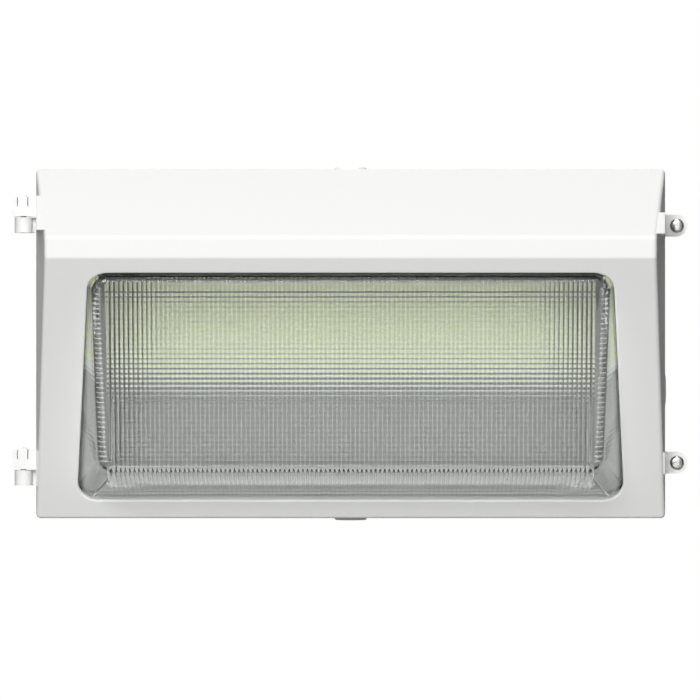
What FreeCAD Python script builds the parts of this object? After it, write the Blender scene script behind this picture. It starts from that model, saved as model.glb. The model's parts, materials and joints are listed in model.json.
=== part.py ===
import FreeCAD, Part

import math
import os
import re

import Sketcher
from FreeCAD import Placement, Rotation, Vector

# A wide wall pack light: a cast rear housing that stands on the wall, and a cast front with a
# prismatic glass that swings on two pins at the left and is held by two captive screws at the right.
# +Z is up, +X is to the right seen from the front, and the wall is the plane Y = 0.
# The light stands out towards -Y. All sizes are in millimetres, all angles in degrees.

# ---------------------------------------------------------------------------------------------
# Driving dimensions
# ---------------------------------------------------------------------------------------------

CASTING_SIZES = {
    # Rear housing, a drafted box with its open side to the front
    "housing_step": 1.0,
    "housing_depth": 70.0,
    "housing_draft": 3.0,
    "housing_wall": 3.5,
    "housing_corner": 7.0,
    "housing_back_edge": 2.5,
    # Front casting
    "door_width": 430.0,
    "door_height": 238.6,
    "door_depth": 110.0,
    "door_rim": 6.0,
    "door_wall": 3.0,
    "door_side_draft": 11.2,
    "door_corner": 3.0,
    "bend_level": 71.2,
    "nose_level": 56.9,
    "door_gap": 1.0,
    "rim_ledge_width": 9.0,
    "rim_ledge_depth": 5.0,
    # Seal between the two castings
    "seal_width": 4.4,
    "seal_groove": 3.0,
    "seal_inset": 2.2,
    # Lens opening in the lower sloped face, measured along the slope from its bottom corner
    "opening_bottom": 14.2,
    "opening_top": 192.6,
    "opening_half_bottom": 186.6,
    "opening_half_top": 175.2,
    "opening_corner": 13.7,
    "opening_lip": 1.5,
    # Columns that carry the lugs forward over the drafted side walls
    "column_inset": 1.6,
    "column_width": 12.0,
    "column_draft": 5.9,
}

HINGE_SIZES = {
    "hinge_axis_out": 9.0,
    "hinge_axis_front": 1.0,
    "hinge_barrel_radius": 6.0,
    "hinge_block_radius": 6.8,
    "hinge_block_length": 13.0,
    "hinge_knuckle_length": 10.4,
    "hinge_gap": 0.8,
    "hinge_upper_top": 100.2,
    "hinge_lower_top": -72.7,
    "hinge_web": 11.0,
    "pin_radius": 2.0,
    "pin_play": 0.05,
    "pin_foot": 1.0,
    "pin_tip_gap": 1.2,
    "tongue_half": 3.0,
    "tongue_rise": 1.5,
    "tongue_slit": 1.1,
    "tongue_depth": 6.3,
}

CLOSURE_SIZES = {
    "ear_out": 8.0,
    "ear_radius": 7.4,
    "ear_depth": 6.0,
    "ear_root": 1.2,
    "ear_upper": 80.8,
    "ear_lower": -81.3,
    "lug_radius": 7.0,
    "lug_depth": 17.0,
    "lug_hole_radius": 2.8,
    "lug_hole_depth": 14.0,
    "closure_head_radius": 4.8,
    "closure_head_height": 3.1,
    "closure_shank_radius": 2.0,
    "closure_shank_play": 0.1,
    "closure_thread_radius": 2.45,
    "closure_thread_length": 6.0,
    "closure_travel": 6.0,
    "closure_recess_radius": 1.7,
    "closure_recess_depth": 1.6,
    "closure_recess_arm": 0.45,
}

WALL_SIZES = {
    "wall_hole_radius": 3.5,
    "wall_hole_x": 196.0,
    "wall_hole_z": 103.0,
    "entry_radius": 9.9,
    "entry_wall": 4.1,
    "entry_length": 12.0,
    "rear_entry_level": -56.0,
    "box_slot_radius": 2.6,
    "box_slot_length": 9.2,
    "box_slot_x": 43.0,
    "gasket_outer": 54.0,
    "gasket_inner": 49.5,
    "gasket_thickness": 2.0,
    "plug_side_level": -31.5,
    "plug_axis_depth": 36.0,
    "plug_head_radius": 11.1,
    "plug_head_height": 4.6,
    "plug_edge": 0.8,
    "plug_slot_width": 2.2,
    "plug_slot_depth": 1.8,
    "plug_seal_thickness": 1.2,
    "plug_seal_radius": 11.0,
    "post_radius": 4.5,
    "post_x": 198.5,
    "post_z": 60.0,
    "post_hole_radius": 1.7,
    "post_hole_depth": 12.0,
}

GEAR_SIZES = {
    # LED carrier
    "sink_half": 166.5,
    "sink_low": -22.0,
    "sink_high": 42.0,
    "sink_front": 76.0,
    "sink_plate": 5.0,
    "sink_web": 4.0,
    "sink_flange": 12.0,
    "sink_flange_thickness": 4.0,
    "sink_fin": 2.5,
    "sink_pad": 8.0,
    "sink_screw_x": 135.0,
    "board_thickness": 1.6,
    "board_margin": 2.0,
    "board_split": 0.5,
    "chip_side": 4.6,
    "chip_height": 0.7,
    "chip_columns": 20,
    "chip_rows": 6,
    "chip_pitch_x": 8.07,
    "chip_pitch_z": 9.0,
    "board_screw_radius": 2.4,
    "board_screw_head": 1.6,
    "chip_field_rise": 1.5,
    "jumper_half": 6.0,
    "jumper_height": 4.2,
    "jumper_depth": 3.2,
    "socket_half": 5.0,
    "socket_height": 3.4,
    "socket_depth": 4.0,
    "socket_lead_reach": 1.0,
    "clamp_level": 13.5,
    "clamp_length": 12.4,
    "clamp_out": 4.8,
    "clamp_lip": 3.0,
    "clamp_lip_thickness": 1.4,
    "clamp_screw_radius": 1.25,
    "clamp_screw_head": 1.8,
    "clamp_screw_reach": 7.0,
    # Reflector tray
    "tray_half_x": 204.5,
    "tray_half_z": 111.0,
    "tray_front": 67.2,
    "tray_sheet": 1.2,
    "tray_hem": 9.0,
    "tray_window_gap": 1.5,
    "grommet_x": -150.0,
    "grommet_z": 53.0,
    "grommet_radius": 5.0,
    "grommet_lip": 1.6,
    "grommet_lip_thickness": 1.5,
    "grommet_lead_offset": 2.2,
    # Driver and other gear behind the tray
    "driver_x": -108.0,
    "driver_z": 86.0,
    "driver_length": 140.0,
    "driver_height": 46.0,
    "driver_depth": 36.0,
    "driver_sheet": 1.5,
    "driver_cap": 4.0,
    "driver_ear": 12.0,
    "driver_ear_half": 9.0,
    "gear_screw_length": 7.0,
    "gear_post": 4.0,
    "gear_post_radius": 4.5,
    "surge_x": 78.0,
    "surge_z": 86.0,
    "surge_length": 46.0,
    "surge_height": 34.0,
    "surge_depth": 24.0,
    "surge_ear_half": 7.0,
    "terminal_x": -95.0,
    "terminal_z": -72.0,
    "terminal_length": 44.0,
    "terminal_height": 22.0,
    "terminal_depth": 18.0,
    "terminal_pitch": 12.0,
    "terminal_screw_offset": 7.0,
    "terminal_screw_radius": 2.2,
    "terminal_well": 6.0,
    "ground_x": 70.0,
    "ground_z": -85.0,
    "ground_head_radius": 4.2,
    "ground_head_height": 2.4,
    "ground_tag_radius": 4.6,
    "ground_tag_thickness": 1.5,
    "lead_radius": 1.1,
    "lead_bend": 4.5,
    # Small screws
    "small_head_radius": 3.6,
    "small_head_height": 2.2,
    "small_shank_radius": 1.7,
    "small_slot_width": 0.9,
    "small_slot_depth": 1.1,
    "small_shank_length": 9.0,
}

GLASS_SIZES = {
    "glass_gap": 1.8,
    "glass_seat_gap": 1.5,
    "glass_wall": 4.0,
    "glass_flange": 3.5,
    "glass_flange_side": 7.0,
    "glass_flange_end": 4.5,
    "glass_fold_along": 65.7,
    "glass_fold_out": 44.8,
    "glass_top_out": 2.0,
    "glass_side_draft": 0.288,
    "glass_fold_radius": 6.0,
    "clip_boss_radius": 4.0,
    "clip_boss_out": 14.0,
    "clip_width": 13.0,
    "clip_sheet": 1.2,
    "clip_boss_gap": 1.0,
    "gasket_clear": 0.3,
    "clip_low": 48.0,
    "clip_middle": 106.0,
    "clip_high": 164.0,
}

SIZES = {**CASTING_SIZES, **HINGE_SIZES, **CLOSURE_SIZES, **WALL_SIZES, **GEAR_SIZES, **GLASS_SIZES}

# Places worked out from the driving dimensions
PLACES = {
    "half_w": "door_width / 2",
    "half_z": "door_height / 2",
    "door_back": "-(housing_depth + door_gap)",
    "rim_front": "door_back - door_rim",
    "nose_front": "door_back - door_depth",
    "slope_run": "half_z + nose_level",
    "slope_rise": "door_depth - door_rim",
    "slope_angle": "atan(slope_rise / slope_run)",
    "top_slant": "slope_rise / (half_z - bend_level)",
    "low_slant": "slope_rise / slope_run",
    "hinge_x": "-(half_w + hinge_axis_out)",
    "hinge_y": "door_back - hinge_axis_front",
    "block_edge": "hinge_x - hinge_block_radius",
    "ear_x": "half_w + ear_out",
    "house_side": "half_w - housing_step",
    "house_top": "half_z - housing_step",
    "wall_in": "-housing_wall",
    "seat": "-(door_wall + glass_seat_gap)",
    "flange_back": "seat - glass_flange",
    "side_slant": "(opening_half_bottom - opening_half_top) / (opening_top - opening_bottom)",
    "glass_seat_play": "glass_gap - glass_side_draft * (door_wall + glass_seat_gap)",
    "glass_low": "opening_bottom + glass_gap",
    "glass_high": "opening_top - glass_gap",
    "glass_low_angle": "atan(glass_fold_out / (glass_fold_along - glass_low))",
    "glass_front_angle": "atan((glass_fold_out - glass_top_out) / (glass_high - glass_fold_along))",
    "glass_side_factor": "sqrt(1 + side_slant ^ 2 + glass_side_draft ^ 2)",
    "sink_mid": "(sink_low + sink_high) / 2",
    "board_front": "sink_front + board_thickness",
    "tray_back": "tray_front - tray_sheet",
    "pad_front": "housing_wall + sink_pad",
    "gear_base": "housing_wall + gear_post",
    "plug_drop": "housing_draft * (1 - plug_axis_depth / housing_depth)",
}

DOC = FreeCAD.newDocument("wall_pack_light")
SHEET = DOC.addObject("Spreadsheet::Sheet", "Sizes")
NODES = []


def fill_sheet():
    """One row for each driving dimension: its name, its value and its alias."""
    for row, (alias, value) in enumerate(SIZES.items(), 1):
        SHEET.set(f"A{row}", alias)
        SHEET.set(f"B{row}", str(value))
        SHEET.setAlias(f"B{row}", alias)
    DOC.recompute()


def ref(text):
    """An expression in which every named size points to its cell."""

    def place(match):
        word = match.group(0)
        if word in PLACES:
            return f"({ref(PLACES[word])})"
        return f"Sizes.{word}" if word in SIZES else word

    return re.sub(r"[a-z][a-z_]+", place, str(text))


def num(text):
    """The present value of an expression."""
    return float(SHEET.evalExpression(ref(text)))


def bind(thing, **links):
    """Bind properties to expressions. A double underscore in a name stands for a dot."""
    for name, text in links.items():
        thing.setExpression(name.replace("__", "."), ref(text))
    return thing


def node(label, thing):
    """Give a finished sub-part the name that its file gets."""
    thing.Label = label
    NODES.append(thing)
    return thing


# ---------------------------------------------------------------------------------------------
# Primitives and booleans
# ---------------------------------------------------------------------------------------------

TURN_TO = {
    "x": Rotation(Vector(0, 0, 1), Vector(1, 0, 0)),
    "y": Rotation(Vector(1, 0, 0), -90),
    "z": Rotation(),
}


def block(name, x, y, z):
    """A box from its lowest to its highest place on each axis."""
    piece = DOC.addObject("Part::Box", name)
    for size, axis, (low, high) in zip(("Length", "Width", "Height"), "xyz", (x, y, z)):
        piece.setExpression(size, ref(f"({high}) - ({low})"))
        piece.setExpression(f"Placement.Base.{axis}", ref(low))
    return piece


def rod(name, radius, x, y, z):
    """A cylinder along the one axis that is given as (low, high)."""
    piece = DOC.addObject("Part::Cylinder", name)
    places = dict(x=x, y=y, z=z)
    along = next(axis for axis, place in places.items() if isinstance(place, tuple))
    low, high = places[along]
    places[along] = low
    piece.Placement = Placement(Vector(), TURN_TO[along])
    bind(piece, Radius=radius, Height=f"({high}) - ({low})")
    for axis, place in places.items():
        piece.setExpression(f"Placement.Base.{axis}", ref(place))
    return piece


def fuse(name, *pieces):
    """Pieces made one."""
    whole = DOC.addObject("Part::MultiFuse", name)
    whole.Shapes = list(pieces)
    whole.Refine = True
    return whole


def cut(name, base, *tools):
    """A piece with others taken out of it."""
    hollow = DOC.addObject("Part::Cut", name)
    hollow.Base = base
    hollow.Tool = tools[0] if len(tools) == 1 else fuse(f"{name}_tools", *tools)
    hollow.Refine = True
    return hollow


def group(name, pieces):
    """Alike pieces that share one node and stay separate solids."""
    batch = DOC.addObject("Part::Compound", name)
    batch.Links = list(pieces)
    return batch


# ---------------------------------------------------------------------------------------------
# Bodies, sketches and features
# ---------------------------------------------------------------------------------------------


def new_body(name):
    return DOC.addObject("PartDesign::Body", name)


def outline(sketch, corners):
    """A closed run of straight lines whose corners are bound to the sheet."""
    first = sketch.GeometryCount
    spots = [Vector(num(a), num(b), 0) for a, b in corners]
    for here, there in zip(spots, spots[1:] + spots[:1]):
        sketch.addGeometry(Part.LineSegment(here, there))
    count = len(corners)
    for i in range(count):
        after = first + (i + 1) % count
        sketch.addConstraint(Sketcher.Constraint("Coincident", first + i, 2, after, 1))
    for i, (a, b) in enumerate(corners):
        for kind, text, start in (("DistanceX", a, spots[i].x), ("DistanceY", b, spots[i].y)):
            index = sketch.addConstraint(Sketcher.Constraint(kind, -1, 1, first + i, 1, start))
            sketch.setExpression(f"Constraints[{index}]", ref(text))


def new_sketch(body, name, role, lift="0", *loops):
    """A sketch on one of the body's origin planes, lifted along the plane's normal."""
    sketch = body.newObject("Sketcher::SketchObject", name)
    plane = next(f for f in body.Origin.OriginFeatures if f.Role == role)
    sketch.AttachmentSupport = [(plane, "")]
    sketch.MapMode = "FlatFace"
    bind(sketch, AttachmentOffset__Base__z=lift)
    for loop in loops:
        outline(sketch, loop)
    return sketch


def slope_sketch(body, name, lift, *loops):
    """A sketch parallel to the lower sloped face: X across, Y up the slope from its bottom corner."""
    sketch = new_sketch(body, name, "XZ_Plane")
    sketch.AttachmentOffset = Placement(Vector(), Rotation(Vector(1, 0, 0), 1))
    bind(
        sketch,
        AttachmentOffset__Rotation__Angle="slope_angle",
        AttachmentOffset__Base__y=f"-half_z - ({lift}) * sin(slope_angle)",
        AttachmentOffset__Base__z=f"-rim_front + ({lift}) * cos(slope_angle)",
    )
    for loop in loops:
        outline(sketch, loop)
    return sketch


def section_sketch(body, name, *loops):
    """A sketch across the light in the frame of the sloped face: X is into the light, Y up the slope."""
    sketch = new_sketch(body, name, "YZ_Plane")
    sketch.AttachmentOffset = Placement(Vector(), Rotation(Vector(0, 0, 1), 1))
    bind(
        sketch,
        AttachmentOffset__Rotation__Angle="slope_angle",
        AttachmentOffset__Base__x="rim_front",
        AttachmentOffset__Base__y="-half_z",
    )
    for loop in loops:
        outline(sketch, loop)
    return sketch


def pad(body, sketch, length, both_ways=False, back=False):
    feature = body.newObject("PartDesign::Pad", f"{sketch.Name}_pad")
    feature.Profile = sketch
    feature.SideType = "Symmetric" if both_ways else "One side"
    feature.Reversed = back
    bind(feature, Length=length)
    sketch.Visibility = False
    return feature


def pocket(body, sketch, length, both_ways=False, back=False):
    feature = body.newObject("PartDesign::Pocket", f"{sketch.Name}_pocket")
    feature.Profile = sketch
    feature.SideType = "Symmetric" if both_ways else "One side"
    feature.Reversed = back
    bind(feature, Length=length)
    return feature


def loft(body, first, second):
    feature = body.newObject("PartDesign::AdditiveLoft", f"{first.Name}_loft")
    feature.Profile = first
    feature.Sections = [second]
    feature.Ruled = True
    return feature


def edge_names(shape, test):
    """Names of the edges that pass a test of their middle and their direction."""
    names = []
    for index, edge in enumerate(shape.Edges, 1):
        if edge.Degenerated:
            continue
        middle = edge.valueAt((edge.FirstParameter + edge.LastParameter) / 2)
        way = edge.tangentAt((edge.FirstParameter + edge.LastParameter) / 2)
        if test(middle, way, edge):
            names.append(f"Edge{index}")
    return names


def round_edges(body, name, radius, test):
    """Round the edges of the body's tip that pass a test."""
    DOC.recompute()
    tip = body.Tip
    feature = body.newObject("PartDesign::Fillet", name)
    feature.Base = (tip, edge_names(tip.Shape, test))
    bind(feature, Radius=radius)
    return feature


def hollow_out(body, name, wall, open_way):
    """Leave a wall inside the body's faces and open the flat face that looks along open_way."""
    DOC.recompute()
    tip = body.Tip
    faces = tip.Shape.Faces
    facing = [
        (face.CenterOfMass.dot(open_way), index)
        for index, face in enumerate(faces, 1)
        if isinstance(face.Surface, Part.Plane) and face.normalAt(0, 0).dot(open_way) > 0.999
    ]
    feature = body.newObject("PartDesign::Thickness", name)
    feature.Base = (tip, [f"Face{max(facing)[1]}"])
    feature.Join = "Intersection"
    feature.Intersection = True
    feature.Reversed = True
    bind(feature, Value=wall)
    return feature


def rectangle(x, z):
    """Corners of a rectangle, from (low, high) on each axis."""
    return [(x[0], z[0]), (x[1], z[0]), (x[1], z[1]), (x[0], z[1])]


def centred(half_x, half_z):
    return rectangle((f"-({half_x})", half_x), (f"-({half_z})", half_z))


# ---------------------------------------------------------------------------------------------
# Rear housing
# ---------------------------------------------------------------------------------------------

HINGE_TOPS = {"upper": "hinge_upper_top", "lower": "hinge_lower_top"}
EAR_LEVELS = {"upper": "ear_upper", "lower": "ear_lower"}
SIDES = {"left": -1, "right": 1}


def knuckle_top(level):
    return f"{HINGE_TOPS[level]} - hinge_block_length - hinge_gap"


def knuckle_foot(level):
    return f"{knuckle_top(level)} - hinge_knuckle_length"


def housing_shell():
    """The drafted box, hollow and open to the front."""
    body = new_body("housing_shell")
    face = new_sketch(body, "housing_face", "XZ_Plane", "0", centred("house_side", "house_top"))
    pad(body, face, "housing_depth")
    sides = new_sketch(body, "housing_sides", "XY_Plane", "0", *housing_wedges("house_side", False))
    pocket(body, sides, "door_height + 10", both_ways=True)
    ends = new_sketch(body, "housing_ends", "YZ_Plane", "0", *housing_wedges("house_top", True))
    pocket(body, ends, "door_width + 10", both_ways=True)
    round_edges(body, "housing_corners", "housing_corner", lambda m, way, e: abs(way.y) > 0.9)
    hollow_out(body, "housing_hollow", "housing_wall", Vector(0, -1, 0))
    round_edges(body, "housing_back_edges", "housing_back_edge", lambda m, way, e: abs(m.y) < 0.01)
    return body


def housing_wedges(half, depth_first):
    """What the draft takes off two opposite walls, seen along the walls."""
    wedges = []
    for way in SIDES.values():
        corners = [
            (f"{way} * {half}", "-housing_depth"),
            (f"{way} * ({half} + 1)", "-housing_depth"),
            (f"{way} * ({half} + 1)", "1"),
            (f"{way} * ({half} - housing_draft * (housing_depth + 1) / housing_depth)", "1"),
        ]
        wedges.append([corner[::-1] for corner in corners] if depth_first else corners)
    return wedges


def housing_hinges():
    """Left-hand knuckles: a barrel and the web that carries it."""
    parts = []
    for level in HINGE_TOPS:
        foot, top = knuckle_foot(level), knuckle_top(level)
        parts.append(rod(f"barrel_{level}", "hinge_barrel_radius", "hinge_x", "hinge_y", (foot, top)))
        web = block(
            f"barrel_web_{level}",
            ("hinge_x - hinge_barrel_radius / 2", "-(house_side - housing_wall)"),
            ("-housing_depth + 0.5", "-housing_depth + hinge_web"),
            (foot, top),
        )
        parts.append(web)
    return parts


def housing_lugs():
    """Right-hand lugs behind the ears of the front."""
    parts = []
    for level, centre in EAR_LEVELS.items():
        front, back = "-housing_depth", "-housing_depth + lug_depth"
        parts.append(rod(f"lug_{level}", "lug_radius", "ear_x", (front, back), centre))
        parts.append(
            block(
                f"lug_web_{level}",
                ("house_side - housing_wall", "ear_x"),
                (front, back),
                (f"{centre} - lug_radius", f"{centre} + lug_radius"),
            )
        )
    return parts


def housing_hubs():
    """Thickened rings round the conduit entries."""
    radius = "entry_radius + entry_wall"
    deep = "-plug_axis_depth"
    inner_z = "house_top - plug_drop - entry_length"
    inner_x = "house_side - plug_drop - entry_length"
    outer_z = "house_top - plug_drop - housing_wall / 2"
    outer_x = "house_side - plug_drop - housing_wall / 2"
    return [
        rod("hub_top", radius, "0", deep, (inner_z, outer_z)),
        rod("hub_bottom", radius, "0", deep, (f"-({outer_z})", f"-({inner_z})")),
        rod("hub_right", radius, (inner_x, outer_x), deep, "plug_side_level"),
        rod("hub_rear", radius, "0", ("-entry_length", "-housing_wall / 2"), "rear_entry_level"),
    ]


def entry_bores():
    """The bores of the four conduit entries, through wall and ring."""
    deep = "-plug_axis_depth"
    inner_z = "house_top - plug_drop - entry_length - 1"
    inner_x = "house_side - plug_drop - entry_length - 1"
    return [
        rod("bore_top", "entry_radius", "0", deep, (inner_z, "house_top + 1")),
        rod("bore_bottom", "entry_radius", "0", deep, ("-house_top - 1", f"-({inner_z})")),
        rod("bore_right", "entry_radius", (inner_x, "house_side + 1"), deep, "plug_side_level"),
        rod("bore_rear", "entry_radius", "0", ("-entry_length - 1", "1"), "rear_entry_level"),
    ]


def entry_faces():
    """Flat seats for the plug heads, square to each bore, cut into the drafted walls."""
    radius = "plug_head_radius + 1"
    deep = "-plug_axis_depth"
    seat_z = "house_top - plug_drop - 1"
    seat_x = "house_side - plug_drop - 1"
    return [
        rod("seat_top", radius, "0", deep, (seat_z, "house_top + 1")),
        rod("seat_bottom", radius, "0", deep, ("-house_top - 1", f"-({seat_z})")),
        rod("seat_right", radius, (seat_x, "house_side + 1"), deep, "plug_side_level"),
    ]


def housing_posts():
    """Tray posts at the side walls, and low posts and pads for the gear on the back."""
    parts = []
    back = "wall_in"
    for across in (-1, 1):
        for up in (-1, 1):
            x, z = f"{across} * post_x", f"{up} * post_z"
            tag = f"{across + 1}{up + 1}"
            parts.append(rod(f"tray_post_{tag}", "post_radius", x, ("-tray_back", back), z))
            edge = sorted((x, f"{across} * (house_side - housing_wall)"), key=num)
            web = block(
                f"tray_post_web_{tag}",
                tuple(edge),
                ("-tray_back + tray_hem + 1", back),
                (f"{z} - post_radius / 2", f"{z} + post_radius / 2"),
            )
            parts.append(web)
    for tag, low, high in (
        ("low", "sink_low - sink_flange", "sink_low"),
        ("high", "sink_high", "sink_high + sink_flange"),
    ):
        span = ("-sink_half", "sink_half")
        parts.append(block(f"sink_pad_{tag}", span, ("-pad_front", back), (low, high)))
    for name, x, z in GEAR_POSTS:
        parts.append(rod(f"gear_post_{name}", "gear_post_radius", x, ("-gear_base", back), z))
    return parts


GEAR_POSTS = [
    ("driver_left", "driver_x - driver_length / 2 - driver_ear / 2", "driver_z"),
    ("driver_right", "driver_x + driver_length / 2 + driver_ear / 2", "driver_z"),
    ("surge", "surge_x + surge_length / 2 + driver_ear / 2", "surge_z"),
    ("terminal", "terminal_x", "terminal_z"),
    ("ground", "ground_x", "ground_z"),
]


def housing_holes():
    """Wall holes, outlet box slots, screw holes and pin holes."""
    holes = []
    for across in (-1, 1):
        for up in (-1, 1):
            tag = f"{across + 1}{up + 1}"
            x, z = f"{across} * wall_hole_x", f"{up} * wall_hole_z"
            holes.append(rod(f"wall_hole_{tag}", "wall_hole_radius", x, ("-housing_wall - 1", "1"), z))
            x, z = f"{across} * post_x", f"{up} * post_z"
            depth = ("-tray_back - 1", "-tray_back + post_hole_depth")
            holes.append(rod(f"post_hole_{tag}", "post_hole_radius", x, depth, z))
        for end in (-1, 1):
            reach = f"{across} * box_slot_x + {end} * (box_slot_length / 2 - box_slot_radius)"
            holes.append(
                rod(
                    f"slot_end_{across + 1}{end + 1}",
                    "box_slot_radius",
                    reach,
                    ("-housing_wall - 1", "1"),
                    "rear_entry_level",
                )
            )
        middle = f"{across} * box_slot_x"
        straight = "box_slot_length / 2 - box_slot_radius"
        holes.append(
            block(
                f"slot_{across + 1}",
                (f"{middle} - ({straight})", f"{middle} + ({straight})"),
                ("-housing_wall - 1", "1"),
                ("rear_entry_level - box_slot_radius", "rear_entry_level + box_slot_radius"),
            )
        )
    for level, centre in EAR_LEVELS.items():
        span = ("-housing_depth - 1", "-housing_depth + lug_hole_depth")
        holes.append(rod(f"lug_hole_{level}", "lug_hole_radius", "ear_x", span, centre))
    for level in HINGE_TOPS:
        span = (f"{knuckle_foot(level)} + pin_foot", f"{knuckle_top(level)} + 1")
        holes.append(rod(f"pin_hole_{level}", "pin_radius", "hinge_x", "hinge_y", span))
    for tag, x, z in sink_screw_spots():
        holes.append(rod(f"sink_hole_{tag}", "small_shank_radius", x, ("-pad_front - 1", "-4"), z))
    for name, x, z in GEAR_POSTS:
        holes.append(rod(f"gear_hole_{name}", "small_shank_radius", x, ("-gear_base - 1", "-2"), z))
    holes.append(gasket_ring("recess", "1"))
    return holes


def gasket_ring(name, front):
    """A flat ring round the rear entry, from the recess floor to a place in front of the back."""
    span = ("-gasket_thickness", front)
    disc = rod(f"{name}_disc", "gasket_outer", "0", span, "rear_entry_level")
    hole = rod(f"{name}_hole", "gasket_inner", "0", span, "rear_entry_level")
    return cut(f"{name}_ring", disc, hole)


def rear_housing():
    body = fuse(
        "housing_cast",
        housing_shell(),
        *housing_hinges(),
        *housing_lugs(),
        *housing_hubs(),
        *housing_posts(),
    )
    return node(
        "rear_housing", cut("housing", body, *entry_faces(), *entry_bores(), *housing_holes())
    )


def wall_gasket():
    """Foam ring in its recess in the housing's back."""
    return node("wall_gasket", gasket_ring("gasket", "0"))


# ---------------------------------------------------------------------------------------------
# Conduit plugs and hinge pins
# ---------------------------------------------------------------------------------------------


def plug(name, turn, level_x, level_z, wall):
    """A slotted plug. It is turned about the light's Y axis from straight up to its own side."""
    body = new_body(f"plug_{name}_body")
    seat = f"{wall} - plug_drop - 1"
    head_low = "plug_seal_thickness"
    head_high = "plug_seal_thickness + plug_head_height"
    half = new_sketch(
        body,
        f"plug_{name}_half",
        "XZ_Plane",
        "0",
        [
            ("0", "-entry_length"),
            ("entry_radius", "-entry_length"),
            ("entry_radius", head_low),
            ("plug_head_radius", head_low),
            ("plug_head_radius", f"{head_high} - plug_edge"),
            ("plug_head_radius - plug_edge", head_high),
            ("0", head_high),
        ],
    )
    spin = body.newObject("PartDesign::Revolution", f"plug_{name}_turned")
    spin.Profile = half
    spin.ReferenceAxis = (half, ["V_Axis"])
    spin.Angle = 360
    slot = new_sketch(
        body,
        f"plug_{name}_slot",
        "XZ_Plane",
        "0",
        rectangle(
            ("-plug_head_radius - 1", "plug_head_radius + 1"),
            (f"{head_high} - plug_slot_depth", f"{head_high} + 1"),
        ),
    )
    pocket(body, slot, "plug_slot_width", both_ways=True)
    body.Placement = Placement(Vector(), Rotation(Vector(0, 1, 0), turn))
    return place_plug(body, turn, level_x, level_z, seat)


def place_plug(thing, turn, level_x, level_z, seat):
    """Stand a plug or its seal on the seat of its own side of the housing."""
    spots = {
        0: (level_x, seat),
        90: (seat, level_z),
        180: (level_x, f"-({seat})"),
    }
    x, z = spots[turn]
    return bind(thing, Placement__Base__x=x, Placement__Base__y="-plug_axis_depth", Placement__Base__z=z)


PLUGS = {
    "top": (0, "0", "0", "house_top"),
    "bottom": (180, "0", "0", "house_top"),
    "right": (90, "0", "plug_side_level", "house_side"),
}


def conduit_plugs():
    for name, (turn, x, z, wall) in PLUGS.items():
        node(f"conduit_plug_{name}", plug(name, turn, x, z, wall))
    seals = []
    for name, (turn, x, z, wall) in PLUGS.items():
        disc = rod(f"seal_disc_{name}", "plug_seal_radius", "0", "0", ("0", "plug_seal_thickness"))
        hole = rod(f"seal_hole_{name}", "entry_radius", "0", "0", ("0", "plug_seal_thickness"))
        seal = cut(f"seal_{name}", disc, hole)
        seal.Placement = Placement(Vector(), Rotation(Vector(0, 1, 0), turn))
        seals.append(place_plug(seal, turn, x, z, f"{wall} - plug_drop - 1"))
    node("plug_seals", group("plug_seal_group", seals))


def hinge_pins():
    pins = []
    for level, top in HINGE_TOPS.items():
        span = (f"{knuckle_foot(level)} + pin_foot", f"{top} - pin_tip_gap - 2")
        pins.append(rod(f"pin_{level}", "pin_radius", "hinge_x", "hinge_y", span))
    node("hinge_pins", group("hinge_pin_group", pins))


# ---------------------------------------------------------------------------------------------
# Small screws
# ---------------------------------------------------------------------------------------------


def small_screw(name, x, z, seat, length, head_radius="small_head_radius", head="small_head_height"):
    """A slotted pan screw that points to the wall, its head seated at y = -seat."""
    face = f"-({seat})"
    top = f"-({seat}) - {head}"
    head_rod = rod(f"{name}_head", head_radius, x, (top, face), z)
    shank = rod(f"{name}_shank", "small_shank_radius", x, (face, f"{face} + {length}"), z)
    slot = block(
        f"{name}_slot",
        (f"{x} - {head_radius} - 1", f"{x} + {head_radius} + 1"),
        (f"{top} - 1", f"{top} + small_slot_depth"),
        (f"{z} - small_slot_width / 2", f"{z} + small_slot_width / 2"),
    )
    return cut(name, fuse(f"{name}_blank", head_rod, shank), slot)


def sink_screw_spots():
    spots = []
    for across in (-1, 1):
        spots.append((f"low_{across + 1}", f"{across} * sink_screw_x", "sink_low - sink_flange / 2"))
        spots.append((f"high_{across + 1}", f"{across} * sink_screw_x", "sink_high + sink_flange / 2"))
    return spots


# ---------------------------------------------------------------------------------------------
# LED carrier and boards
# ---------------------------------------------------------------------------------------------


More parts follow.
